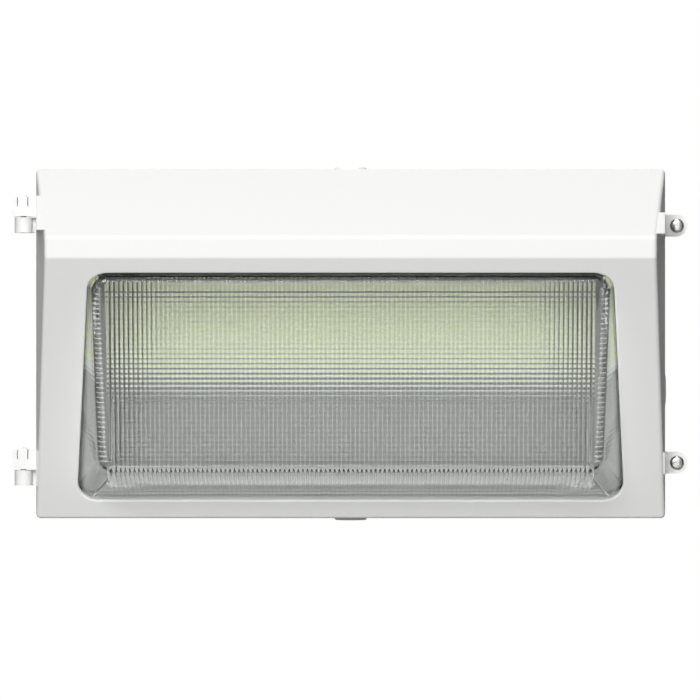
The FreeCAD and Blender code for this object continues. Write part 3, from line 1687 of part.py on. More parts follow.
def glass_gasket():
    """A flat silicone ring between the flange and the casting."""
    body = new_body("glass_gasket_body")
    sketch = slope_sketch(
        body,
        "glass_gasket_ring",
        "seat",
        opening_corners("1 - glass_flange_side", end_gap="1 - glass_flange_end"),
        opening_corners("glass_seat_play - gasket_clear", end_gap="glass_gap - gasket_clear"),
    )
    pad(body, sketch, "glass_seat_gap")
    return node("glass_gasket", body)


CLIP_PLACES = {"low": "clip_low", "middle": "clip_middle", "high": "clip_high"}


def slope_rod(name, radius, across, along, low, high):
    """A cylinder square to the sloped face, between two heights over it."""
    piece = DOC.addObject("Part::Cylinder", name)
    piece.Placement = Placement(Vector(), Rotation(Vector(1, 0, 0), 91))
    bind(
        piece,
        Radius=radius,
        Height=f"({high}) - ({low})",
        Placement__Rotation__Angle="90 deg + slope_angle",
        Placement__Base__x=across,
        Placement__Base__y=f"rim_front - ({along}) * sin(slope_angle) - ({low}) * cos(slope_angle)",
        Placement__Base__z=f"-half_z + ({along}) * cos(slope_angle) - ({low}) * sin(slope_angle)",
    )
    return piece


def clip_across(way, along):
    edge = f"opening_half_bottom - side_slant * ({along} - opening_bottom)"
    return f"{way} * ({edge} + clip_boss_out)"


def each_clip():
    for side, way in SIDES.items():
        for level, along in CLIP_PLACES.items():
            yield f"{side}_{level}", way, along


def clip_bosses():
    return [
        slope_rod(
            f"clip_boss_{tag}",
            "clip_boss_radius",
            clip_across(way, along),
            along,
            "flange_back",
            "-door_wall + 1",
        )
        for tag, way, along in each_clip()
    ]


def clip_boss_holes():
    return [
        slope_rod(
            f"clip_hole_{tag}",
            "small_shank_radius",
            clip_across(way, along),
            along,
            "flange_back - 1",
            "-door_wall - 0.2",
        )
        for tag, way, along in each_clip()
    ]


def glass_clips():
    """Flat steel clips from each boss to the flange, and their screws."""
    clips, screws = [], []
    back = "flange_back"
    for tag, way, along in each_clip():
        middle = clip_across(way, along)
        near = f"{middle} - {way} * (clip_boss_out - clip_boss_gap)"
        far = f"{middle} + {way} * clip_boss_radius"
        span = sorted((near, far), key=num)
        body = new_body(f"clip_{tag}")
        sketch = slope_sketch(
            body,
            f"clip_{tag}_plan",
            f"{back} - clip_sheet",
            [
                (span[0], f"{along} - clip_width / 2"),
                (span[1], f"{along} - clip_width / 2"),
                (span[1], f"{along} + clip_width / 2"),
                (span[0], f"{along} + clip_width / 2"),
            ],
        )
        pad(body, sketch, "clip_sheet")
        hole = slope_rod(
            f"clip_bore_{tag}",
            "small_shank_radius",
            middle,
            along,
            f"{back} - clip_sheet - 1",
            f"{back} + 1",
        )
        clips.append(cut(f"clip_{tag}_cut", body, hole))
        top = f"{back} - clip_sheet"
        head_top = f"{top} - small_head_height"
        head = slope_rod(f"clip_screw_head_{tag}", "small_head_radius", middle, along, head_top, top)
        shank = slope_rod(
            f"clip_screw_shank_{tag}", "small_shank_radius", middle, along, top, "-door_wall - 0.4"
        )
        screws.append(fuse(f"clip_screw_{tag}", head, shank))
    node("glass_clips", group("clip_group", clips))
    node("glass_clip_screws", group("clip_screw_group", screws))


# ---------------------------------------------------------------------------------------------
# Captive closure screws
# ---------------------------------------------------------------------------------------------


def closure_screws():
    """Domed captive screws: head, waisted shank through the ear, and thread in the lug."""
    for level, centre in EAR_LEVELS.items():
        body = new_body(f"closure_{level}_body")
        head = "closure_head_radius"
        thread_start = "ear_depth + closure_travel"
        tip = "ear_depth + closure_travel + closure_thread_length"
        half = new_sketch(
            body,
            f"closure_{level}_half",
            "XZ_Plane",
            "0",
            [
                ("0", f"-({tip})"),
                ("closure_thread_radius - 0.5", f"-({tip})"),
                ("closure_thread_radius", f"-({tip}) + 0.8"),
                ("closure_thread_radius", f"-({thread_start})"),
                ("closure_shank_radius", f"-({thread_start})"),
                ("closure_shank_radius", "0"),
                (head, "0"),
                (head, "closure_head_height * 0.35"),
                (f"{head} * 0.92", "closure_head_height * 0.62"),
                (f"{head} * 0.7", "closure_head_height * 0.87"),
                (f"{head} * 0.36", "closure_head_height"),
                ("0", "closure_head_height"),
            ],
        )
        spin = body.newObject("PartDesign::Revolution", f"closure_{level}_turned")
        spin.Profile = half
        spin.ReferenceAxis = (half, ["V_Axis"])
        spin.Angle = 360
        arms = ("closure_recess_radius", "closure_recess_arm")
        for index, half_sides in enumerate((arms, arms[::-1])):
            arm = new_sketch(
                body,
                f"closure_{level}_arm_{index}",
                "XY_Plane",
                "closure_head_height + 1",
                centred(*half_sides),
            )
            pocket(body, arm, "closure_recess_depth + 1")
        body.Placement = Placement(Vector(), Rotation(Vector(1, 0, 0), 90))
        bind(
            body,
            Placement__Base__x="ear_x",
            Placement__Base__y="door_back - ear_depth",
            Placement__Base__z=centre,
        )
        node(f"closure_screw_{level}", body)


# ---------------------------------------------------------------------------------------------
# Build, test and export
# ---------------------------------------------------------------------------------------------


def build():
    fill_sheet()
    rear_housing()
    wall_gasket()
    conduit_plugs()
    hinge_pins()
    led_heatsink()
    heatsink_screws()
    led_boards()
    board_screws()
    led_chips()
    board_fittings()
    board_clamps()
    reflector_tray()
    tray_screws()
    lead_grommet()
    driver()
    gear_screws()
    surge_protector()
    terminal_block()
    internal_leads()
    door_frame()
    door_gasket()
    glass_refractor()
    glass_gasket()
    glass_clips()
    closure_screws()
    DOC.recompute()


def check():
    """Stop if any object failed or any sub-part has no valid solid."""
    faults = [f"{o.Name}: {o.State}" for o in DOC.Objects if {"Invalid", "Error"} & set(o.State)]
    for piece in NODES:
        shape = piece.Shape
        if shape.isNull() or not shape.isValid() or not shape.Solids:
            faults.append(f"{piece.Label}: no valid solid")
    if faults:
        raise RuntimeError("; ".join(faults))


def export():
    os.makedirs("parts", exist_ok=True)
    for piece in NODES:
        piece.Shape.exportStep(f"parts/{piece.Label}.step")
        print(f"{piece.Label}: {len(piece.Shape.Solids)} solids, {piece.Shape.Volume / 1000:.2f} cm3")


build()
check()
export()
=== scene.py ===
"""Looks of a wide outdoor wall light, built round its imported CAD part.

The cast body, the seals, the screws and the gear keep their CAD shapes and get finishes made of
nodes. The pressed glass and the LED packages are modelled here, because their flutes, prisms and
resin windows are too fine for the CAD part. Everything is in metres: +Z up, +X right, -Y out of
the wall.
"""

import json
import logging
import math
from collections.abc import Callable
from dataclasses import dataclass, field
from enum import Enum
from functools import partial

import bmesh
import bpy
from mathutils import Matrix, Vector

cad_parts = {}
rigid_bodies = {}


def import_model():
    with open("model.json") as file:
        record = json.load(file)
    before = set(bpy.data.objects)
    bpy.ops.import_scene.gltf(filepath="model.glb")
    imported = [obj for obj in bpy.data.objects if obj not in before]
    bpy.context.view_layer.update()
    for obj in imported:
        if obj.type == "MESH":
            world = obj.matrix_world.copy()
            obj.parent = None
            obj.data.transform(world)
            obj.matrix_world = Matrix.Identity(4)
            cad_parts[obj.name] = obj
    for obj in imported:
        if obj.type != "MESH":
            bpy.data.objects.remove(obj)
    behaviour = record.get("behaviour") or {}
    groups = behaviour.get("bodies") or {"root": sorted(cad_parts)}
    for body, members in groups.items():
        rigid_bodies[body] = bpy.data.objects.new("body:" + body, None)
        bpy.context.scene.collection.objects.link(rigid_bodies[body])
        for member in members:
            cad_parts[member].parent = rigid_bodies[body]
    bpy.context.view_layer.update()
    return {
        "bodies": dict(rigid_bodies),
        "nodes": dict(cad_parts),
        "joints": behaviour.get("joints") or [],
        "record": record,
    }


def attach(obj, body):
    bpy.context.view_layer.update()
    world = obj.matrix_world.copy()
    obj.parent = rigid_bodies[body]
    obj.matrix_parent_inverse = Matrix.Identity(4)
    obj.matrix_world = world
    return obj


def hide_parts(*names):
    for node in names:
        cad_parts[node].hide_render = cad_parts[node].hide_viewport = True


Material = bpy.types.Material
Node = bpy.types.Node
Socket = bpy.types.NodeSocket
Tree = bpy.types.NodeTree
Face = bmesh.types.BMFace
Work = bmesh.types.BMesh
Colour = tuple[float, float, float, float]
Point = tuple[float, float, float]

LOG = logging.getLogger("wall_light")
MM = 0.001
MM_PER_METRE = 1000
WHITE: Colour = (1.0, 1.0, 1.0, 1.0)

# How the patterns of a finish are drawn.
PATCH_DETAIL = 3.0
PATCH_ROUGHNESS = 0.6
GRAIN_DETAIL = 2.0
GRAIN_STRENGTH = 0.6
# The most that the grain moves the roughness, either way.
GLOSS_SPREAD = 0.06
# A clear coat over a colour is nearly a mirror.
COAT_ROUGHNESS = 0.08

# Numbers of the Mix node's colour sockets: its two ends and its result.
MIX_FIRST, MIX_SECOND, MIX_RESULT = 6, 7, 2

# Points nearer to a cutting plane than this lie on it.
CUT_SLACK = 1e-7


# ---------------------------------------------------------------------------------------------
# Small helpers
# ---------------------------------------------------------------------------------------------


def to_linear(code: str) -> Colour:
    """Turns an sRGB hex colour to the linear one that a shader takes.

    Args:
        code: The colour as "#RRGGBB".

    Returns:
        Red, green, blue and an alpha of 1.
    """
    channels = [int(code[i : i + 2], 16) / 255 for i in (1, 3, 5)]
    red, green, blue = (
        c / 12.92 if c <= 0.04045 else ((c + 0.055) / 1.055) ** 2.4 for c in channels
    )
    return red, green, blue, 1.0


def shade(colour: Colour, factor: float) -> Colour:
    """Makes a linear colour lighter or darker.

    Args:
        colour: The linear colour.
        factor: What its three channels are multiplied by.

    Returns:
        The new colour, with no channel over 1.
    """
    red, green, blue = (min(c * factor, 1.0) for c in colour[:3])
    return red, green, blue, colour[3]


def add_node(
    tree: Tree, kind: str, settings: dict | None = None, links: dict | None = None
) -> Node:
    """Adds a node with its settings and its links.

    Args:
        tree: The tree that gets the node.
        kind: The node's type, without the ShaderNode in front.
        settings: Values by the name or number of an input, or by the name of a property.
        links: Sockets that feed an input, by the input's name or number.

    Returns:
        The new node.
    """
    node = tree.nodes.new("ShaderNode" + kind)
    for name, value in (settings or {}).items():
        if isinstance(name, int) or name in node.inputs:
            node.inputs[name].default_value = value
        else:
            setattr(node, name, value)
    for name, socket in (links or {}).items():
        tree.links.new(socket, node.inputs[name])
    return node


def crown(phase: float) -> float:
    """Gives the height of a round rib, from 0 at its edges (0 and 1) to 1 at its middle."""
    return 1 - (2 * phase - 1) ** 2


def new_piece(name: str, work: Work, materials: list[Material]) -> bpy.types.Object:
    """Turns a finished bmesh to an object at the origin.

    Args:
        name: The piece's name.
        work: The bmesh, which is freed.
        materials: What its material numbers stand for.

    Returns:
        The new object, in the scene.
    """
    mesh = bpy.data.meshes.new(name)
    work.to_mesh(mesh)
    work.free()
    for material in materials:
        mesh.materials.append(material)
    piece = bpy.data.objects.new(name, mesh)
    bpy.context.scene.collection.objects.link(piece)
    return piece


# ---------------------------------------------------------------------------------------------
# Finishes
# ---------------------------------------------------------------------------------------------


@dataclass(frozen=True)
class Finish:
    """A solid surface with a fine grain: coat, moulding skin or plated metal.

    Attributes:
        name: What the real surface is.
        colour: Its sRGB hex colour.
        roughness: How matt it is, from 0 to 1.
        metallic: 1 for bare metal.
        ior: Index of refraction of a surface that isn't metal.
        grain_mm: The size of the grain's spots.
        depth_mm: The height of the grain.
        tone: How far the colour wanders, as a share of itself.
        patch_mm: The size of the colour's patches.
        stretch: How much the grain is squeezed along each axis; under 1 draws it out to lines.
        coat: The share of clear gloss over the colour.
        gloss: The specular level of a surface that isn't metal; 0.5 is plain.
    """

    name: str
    colour: str
    roughness: float
    metallic: float = 0.0
    ior: float = 1.5
    grain_mm: float = 0.8
    depth_mm: float = 0.01
    tone: float = 0.02
    patch_mm: float = 40.0
    stretch: tuple[float, float, float] = (1.0, 1.0, 1.0)
    coat: float = 0.0
    gloss: float = 0.5

    def build(self) -> Material:
        """Makes the material.

        Returns:
            The material, with its nodes.
        """
        material = bpy.data.materials.new(self.name)
        material.use_nodes = True
        tree = material.node_tree
        tree.nodes.clear()
        shader = add_node(
            tree,
            "BsdfPrincipled",
            {
                "Base Color": to_linear(self.colour),
                "Roughness": self.roughness,
                "Metallic": self.metallic,
                "Coat Weight": self.coat,
                "Coat Roughness": COAT_ROUGHNESS,
            },
        )
        if not self.metallic:
            shader.inputs["IOR"].default_value = self.ior
            shader.inputs["Specular IOR Level"].default_value = self.gloss
        place = add_node(tree, "TexCoord").outputs["Object"]
        self.dress(tree, shader, place)
        add_node(tree, "OutputMaterial", links={"Surface": self.cover(tree, shader)})
        return material

    def dress(self, tree: Tree, shader: Node, place: Socket) -> None:
        """Gives the shader its pattern of colour, gloss and height.

        Args:
            tree: The material's tree.
            shader: Its Principled shader.
            place: The object coordinates.
        """
        self.tint(tree, shader, place)
        self.roughen(tree, shader, place)

    def tint(self, tree: Tree, shader: Node, place: Socket) -> None:
        """Lets the colour wander a little, in soft patches.

        Args:
            tree: The material's tree.
            shader: Its Principled shader.
            place: The object coordinates.
        """
        patches = add_node(
            tree,
            "TexNoise",
            {
                "Scale": MM_PER_METRE / self.patch_mm,
                "Detail": PATCH_DETAIL,
                "Roughness": PATCH_ROUGHNESS,
            },
            {"Vector": place},
        )
        base = to_linear(self.colour)
        ends = {
            MIX_FIRST: shade(base, 1 - self.tone),
            MIX_SECOND: shade(base, 1 + self.tone),
        }
        mixed = add_node(tree, "Mix", {"data_type": "RGBA", **ends}, {0: patches.outputs[0]})
        tree.links.new(mixed.outputs[MIX_RESULT], shader.inputs["Base Color"])

    def roughen(self, tree: Tree, shader: Node, place: Socket) -> None:
        """Adds the grain, as height and as a little change of gloss.

        Args:
            tree: The material's tree.
            shader: Its Principled shader.
            place: The object coordinates.
        """
        drawn = add_node(tree, "Mapping", {"Scale": self.stretch}, {"Vector": place})
        grain = add_node(
            tree,
            "TexNoise",
            {"Scale": MM_PER_METRE / self.grain_mm, "Detail": GRAIN_DETAIL},
            {"Vector": drawn.outputs[0]},
        )
        spread = min(GLOSS_SPREAD, self.roughness / 3)
        gloss = add_node(
            tree,
            "MapRange",
            {"To Min": self.roughness - spread, "To Max": self.roughness + spread},
            {"Value": grain.outputs[0]},
        )
        tree.links.new(gloss.outputs[0], shader.inputs["Roughness"])
        bump = add_node(
            tree,
            "Bump",
            {"Strength": GRAIN_STRENGTH, "Distance": self.depth_mm * MM},
            {"Height": grain.outputs[0]},
        )
        tree.links.new(bump.outputs[0], shader.inputs["Normal"])

    def cover(self, tree: Tree, shader: Node) -> Socket:
        """Gives what goes to the output: here the shader alone."""
        return shader.outputs[0]


@dataclass(frozen=True)
class BoardMask(Finish):
    """White solder mask over copper: the tracks show as a faint grid of fields with narrow gaps.

    Attributes:
        field_x_mm: Width of one copper field, the pitch of the packages.
        field_z_mm: Height of one copper field.
        gap_mm: Gap between two fields.
        field_tone: How light every other field is, as a share of the rest.
        gap_tone: How light the gaps are.
        gap_blur: How softly a gap's edge is drawn.
    """

    field_x_mm: float = 8.07
    field_z_mm: float = 9.0
    gap_mm: float = 0.35
    field_tone: float = 0.97
    gap_tone: float = 0.82
    gap_blur: float = 0.3

    def tint(self, tree: Tree, shader: Node, place: Socket) -> None:
        """Draws the copper fields under the mask.

        Args:
            tree: The material's tree.
            shader: Its Principled shader.
            place: The object coordinates.
        """
        upright = add_node(
            tree,
            "Mapping",
            {"Rotation": (math.radians(90), 0, 0), "Location": (self.field_x_mm * MM / 2, 0, 0)},
            {"Vector": place},
        )
        base = to_linear(self.colour)
        fields = add_node(
            tree,
            "TexBrick",
            {
                "offset": 0.0,
                "Color1": base,
                "Color2": shade(base, self.field_tone),
                "Mortar": shade(base, self.gap_tone),
                "Scale": 1.0,
                "Mortar Size": self.gap_mm * MM / 2,
                "Mortar Smooth": self.gap_blur,
                "Brick Width": self.field_x_mm * MM,
                "Row Height": self.field_z_mm * MM,
            },
            {"Vector": upright.outputs[0]},
        )
        tree.links.new(fields.outputs[0], shader.inputs["Base Color"])


@dataclass(frozen=True)
class PressedGlass(Finish):
    """Clear pressed glass. Lamps reach through it to what is behind.

    Attributes:
        lamp_tint: The colour that lamp light keeps at each of the glass's two surfaces.
        wave_detail: How much fine waviness rides on the broad waves.
        wave_strength: How strongly the waves bend what is seen.
    """

    lamp_tint: str = "#BFC0BF"
    wave_detail: float = 1.0
    wave_strength: float = 0.5

    def tint(self, tree: Tree, shader: Node, place: Socket) -> None:
        """Makes the body of the glass clear, with its faint tint left as it is."""
        shader.inputs["Transmission Weight"].default_value = 1.0

    def roughen(self, tree: Tree, shader: Node, place: Socket) -> None:
        """Adds the slight waviness of a pressed surface.

        Args:
            tree: The material's tree.
            shader: Its Principled shader.
            place: The object coordinates.
        """
        waves = add_node(
            tree,
            "TexNoise",
            {"Scale": MM_PER_METRE / self.grain_mm, "Detail": self.wave_detail},
            {"Vector": place},
        )
        bump = add_node(
            tree,
            "Bump",
            {"Strength": self.wave_strength, "Distance": self.depth_mm * MM},
            {"Height": waves.outputs[0]},
        )
        tree.links.new(bump.outputs[0], shader.inputs["Normal"])

    def cover(self, tree: Tree, shader: Node) -> Socket:
        """Lets shadow rays straight through, tinted.

        Args:
            tree: The material's tree.
            shader: Its Principled shader.

        Returns:
            The socket for the output.
        """
        rays = add_node(tree, "LightPath")
        clear = add_node(tree, "BsdfTransparent", {"Color": to_linear(self.lamp_tint)})
        mixed = add_node(
            tree,
            "MixShader",
            links={0: rays.outputs["Is Shadow Ray"], 1: shader.outputs[0], 2: clear.outputs[0]},
        )
        return mixed.outputs[0]


@dataclass(frozen=True)
class FloorPaint(Finish):
    """A matt floor that throws less light up at the light than it shows.

    Attributes:
        thrown: The colour of the light that it throws at matt surfaces.
    """

    thrown: str = "#8F8F8E"

    def tint(self, tree: Tree, shader: Node, place: Socket) -> None:
        """Takes the darker colour for rays that come from a matt surface.

        Args:
            tree: The material's tree.
            shader: Its Principled shader.
            place: The object coordinates; not used here.
        """
        rays = add_node(tree, "LightPath")
        colours = {MIX_FIRST: to_linear(self.colour), MIX_SECOND: to_linear(self.thrown)}
        mixed = add_node(
            tree, "Mix", {"data_type": "RGBA", **colours}, {0: rays.outputs["Is Diffuse Ray"]}
        )
        tree.links.new(mixed.outputs[MIX_RESULT], shader.inputs["Base Color"])


class Slot(Enum):
    """The record's material slots, each with its finish.

    Real coats, moulding skins and plated metals have a finer grain than a render of the whole
    light shows, so theirs is drawn at 0.35 to 1.4 mm, as coarse as it needs to show.
    """

    # Polyester powder coat, sprayed and baked: even, dull white, with a trace of orange peel.
    WHITE_COAT = Finish(
        "white_powder_coat",
        "#F3F3F2",
        0.62,
        grain_mm=1.1,
        depth_mm=0.012,
        tone=0.006,
        patch_mm=120,
        gloss=0.08,
    )
    # Closed-cell foam, cut from sheet: dark, dull and pitted.
    FOAM = Finish(
        "closed_cell_foam", "#26272A", 0.92, grain_mm=0.9, depth_mm=0.15, tone=0.12, patch_mm=4
    )
    # Silicone rubber, moulded: dull dark grey with a soft bloom.
    SEAL_RUBBER = Finish(
        "silicone_rubber_seal", "#3B3D40", 0.68, ior=1.41, grain_mm=0.7, depth_mm=0.02, tone=0.06
    )
    # Steel pins, centreless ground: fine rings round the pin.
    PIN_STEEL = Finish(
        "ground_steel_pin",
        "#A9AAAC",
        0.28,
        1.0,
        grain_mm=0.5,
        depth_mm=0.004,
        stretch=(1, 1, 6),
        patch_mm=6,
    )
    # Extruded aluminium, left bare: pale grey metal with die lines along its length.
    BARE_ALUMINIUM = Finish(
        "extruded_aluminium",
        "#C9CACC",
        0.42,
        1.0,
        grain_mm=0.5,
        depth_mm=0.008,
        stretch=(0.03, 1, 1),
        patch_mm=30,
    )
    # Steel screws, zinc plated: bluish grey, slightly cloudy.
    ZINC_SCREW = Finish(
        "zinc_plated_screw",
        "#B7BABD",
        0.33,
        1.0,
        grain_mm=0.4,
        depth_mm=0.004,
        tone=0.06,
        patch_mm=3,
    )
    # Stainless steel screws, tumbled: satin, warm grey, no sharp mirror.
    BRIGHT_SCREW = Finish(
        "satin_stainless_screw",
        "#9A9997",
        0.3,
        1.0,
        grain_mm=0.35,
        depth_mm=0.004,
        tone=0.05,
        patch_mm=3,
    )
    # White solder mask on an aluminium board: glossy white with copper fields showing faintly.
    WHITE_BOARD = BoardMask("white_solder_mask", "#DCE0D9", 0.34, grain_mm=0.5, depth_mm=0.004)
    # Phosphor in silicone resin, dispensed: yellow-green, wet looking.
    PHOSPHOR = Finish(
        "phosphor_resin",
        "#E2F62A",
        0.3,
        ior=1.41,
        grain_mm=0.5,
        depth_mm=0.01,
        tone=0.06,
        patch_mm=1.5,
        coat=0.2,
    )
    # Nylon, moulded white: satin with a very fine spark-eroded skin.
    WHITE_PLASTIC = Finish(
        "moulded_white_nylon", "#E9E9E4", 0.45, ior=1.53, grain_mm=0.4, depth_mm=0.01
    )
    # Spring steel strip, rolled: bright grey with faint rolling lines.
    CLIP_STEEL = Finish(
        "rolled_steel_strip",
        "#BDBEBE",
        0.32,
        1.0,
        grain_mm=0.5,
        depth_mm=0.005,
        stretch=(0.1, 1, 1),
        patch_mm=8,
    )
    # Aluminium sheet, given a mid grey that is painted shade: the dimness inside the housing behind
    # the glass is put into its colour. Smooth, satin and very even.
    SHADED_GREY_SHEET = Finish(
        "grey_sheet_painted_shade", "#8A8B8B", 0.4, grain_mm=1.4, depth_mm=0.006, tone=0.008
    )
    # Aluminium driver case, folded sheet: satin grey with lines along its length.
    DRIVER_SHEET = Finish(
        "folded_aluminium_sheet",
        "#BFC0C2",
        0.4,
        1.0,
        grain_mm=0.5,
        depth_mm=0.006,
        stretch=(0.05, 1, 1),
    )
    # Polycarbonate, moulded black: satin with a fine spark-eroded skin.
    BLACK_PLASTIC = Finish(
        "moulded_black_polycarbonate", "#1B1C1E", 0.42, ior=1.58, grain_mm=0.5, depth_mm=0.015
    )
    # Green passivated steel: the usual sign of an earth screw.
    GREEN_SCREW = Finish(
        "green_passivated_screw", "#2E7A45", 0.36, 1.0, grain_mm=0.4, depth_mm=0.004, patch_mm=3
    )
    # Polyamide terminal block, moulded cream: satin.
    CREAM_PLASTIC = Finish(
        "moulded_cream_polyamide", "#DDD3B4", 0.45, ior=1.53, grain_mm=0.5, depth_mm=0.012
    )
    # Silicone-rubber lead insulation, extruded: smooth with a soft gloss.
    LEAD_BLACK = Finish("black_lead_insulation", "#16171A", 0.4, grain_mm=0.8, depth_mm=0.008)
    LEAD_WHITE = Finish("white_lead_insulation", "#E8E7E2", 0.4, grain_mm=0.8, depth_mm=0.008)
    LEAD_RED = Finish("red_lead_insulation", "#B3211C", 0.4, grain_mm=0.8, depth_mm=0.008)
    LEAD_BLUE = Finish("blue_lead_insulation", "#24479E", 0.4, grain_mm=0.8, depth_mm=0.008)
    # Borosilicate glass, pressed: clear with a faint grey-green edge and soft waves on its skin.
    LENS_GLASS = PressedGlass(
        "pressed_clear_glass", "#F0F2F0", 0.02, ior=1.47, grain_mm=14, depth_mm=0.03
    )


# White moulded package that holds the resin: satin, a little translucent looking.
PACKAGE_SHELL = Finish(
    "moulded_led_package", "#EFEFE6", 0.4, ior=1.55, grain_mm=0.3, depth_mm=0.004
)
# Studio floor: painted board, matt and pale.
PALE_FLOOR = FloorPaint("pale_matt_floor", "#E4E4E2", 0.85, grain_mm=3, depth_mm=0.05)


@dataclass
class Paintbox:
    """Makes each finish once and hands it out.

    Attributes:
        made: The materials so far, by their finish's name.
    """

    made: dict[str, Material] = field(default_factory=dict)

    def of(self, finish: Finish) -> Material:
        """Gives the material of a finish.

        Args:
            finish: The finish that is wanted.

        Returns:
            Its material, made at the first call.
        """
        if finish.name not in self.made:
            self.made[finish.name] = finish.build()
        return self.made[finish.name]

    def coat(self, node: bpy.types.Object, slot: Slot) -> None:
        """Puts a finish on every material slot of a CAD node.

        Args:
            node: The node's object.
            slot: Which of the record's slots it has.
        """
        material = self.of(slot.value)
        if not node.data.materials:
            node.data.materials.append(material)
        for place in node.material_slots:
            place.material = material


# ---------------------------------------------------------------------------------------------
# Sub-assemblies
# ---------------------------------------------------------------------------------------------


@dataclass
class Assembly:
    """A group of CAD nodes that only get their finishes.

    Attributes:
        title: What the group is.
        finishes: The slot of each node, by the node's name.
    """

    title: str
    finishes: dict[str, Slot]

    def build(self, frame: dict, paints: Paintbox) -> None:
        """Dresses the nodes.

        Args:
            paints: The finishes.
        """
        for name, slot in self.finishes.items():
            paints.coat(frame["nodes"][name], slot)
            LOG.info("%s: %s is %s", self.title, name, slot.value.name)


# The sloped lower face comes this far out of the wall over this rise.
SLOPE_RUN_MM = 104.0
SLOPE_RISE_MM = 176.2


@dataclass
class SlopeFrame:
    """The frame of the sloped lower face, from its bottom edge at the rim.

    Attributes:
        foot: The bottom edge's place in y and z.
        angle: How far the face leans out of the upright, going up.
    """

    foot: tuple[float, float] = (-77.0 * MM, -119.3 * MM)
    angle: float = math.atan2(SLOPE_RUN_MM, SLOPE_RISE_MM)

    def along(self, point: Vector) -> float:
        """Gives how far up the slope a point is."""
        y, z = point.y - self.foot[0], point.z - self.foot[1]
        return z * math.cos(self.angle) - y * math.sin(self.angle)

    def out(self, point: Vector) -> float:
        """Gives how far a point stands out of the slope."""
        y, z = point.y - self.foot[0], point.z - self.foot[1]
        return -y * math.cos(self.angle) - z * math.sin(self.angle)

    def direction(self, along: float, out: float) -> Vector:
        """Turns a direction in the slope's frame to one in the part's frame.

        Args:
            along: Its share up the slope.
            out: Its share out of the slope.

        Returns:
            The direction, of length 1.
        """
        cosine, sine = math.cos(self.angle), math.sin(self.angle)
        way = Vector((0, -along * sine - out * cosine, along * cosine - out * sine))
        return way.normalized()


# The directions that the glass's walls beside its front look along.
LEFT = Vector((-1, 0, 0))
RIGHT = Vector((1, 0, 0))
UNDER = Vector((0, -0.3, -0.95)).normalized()


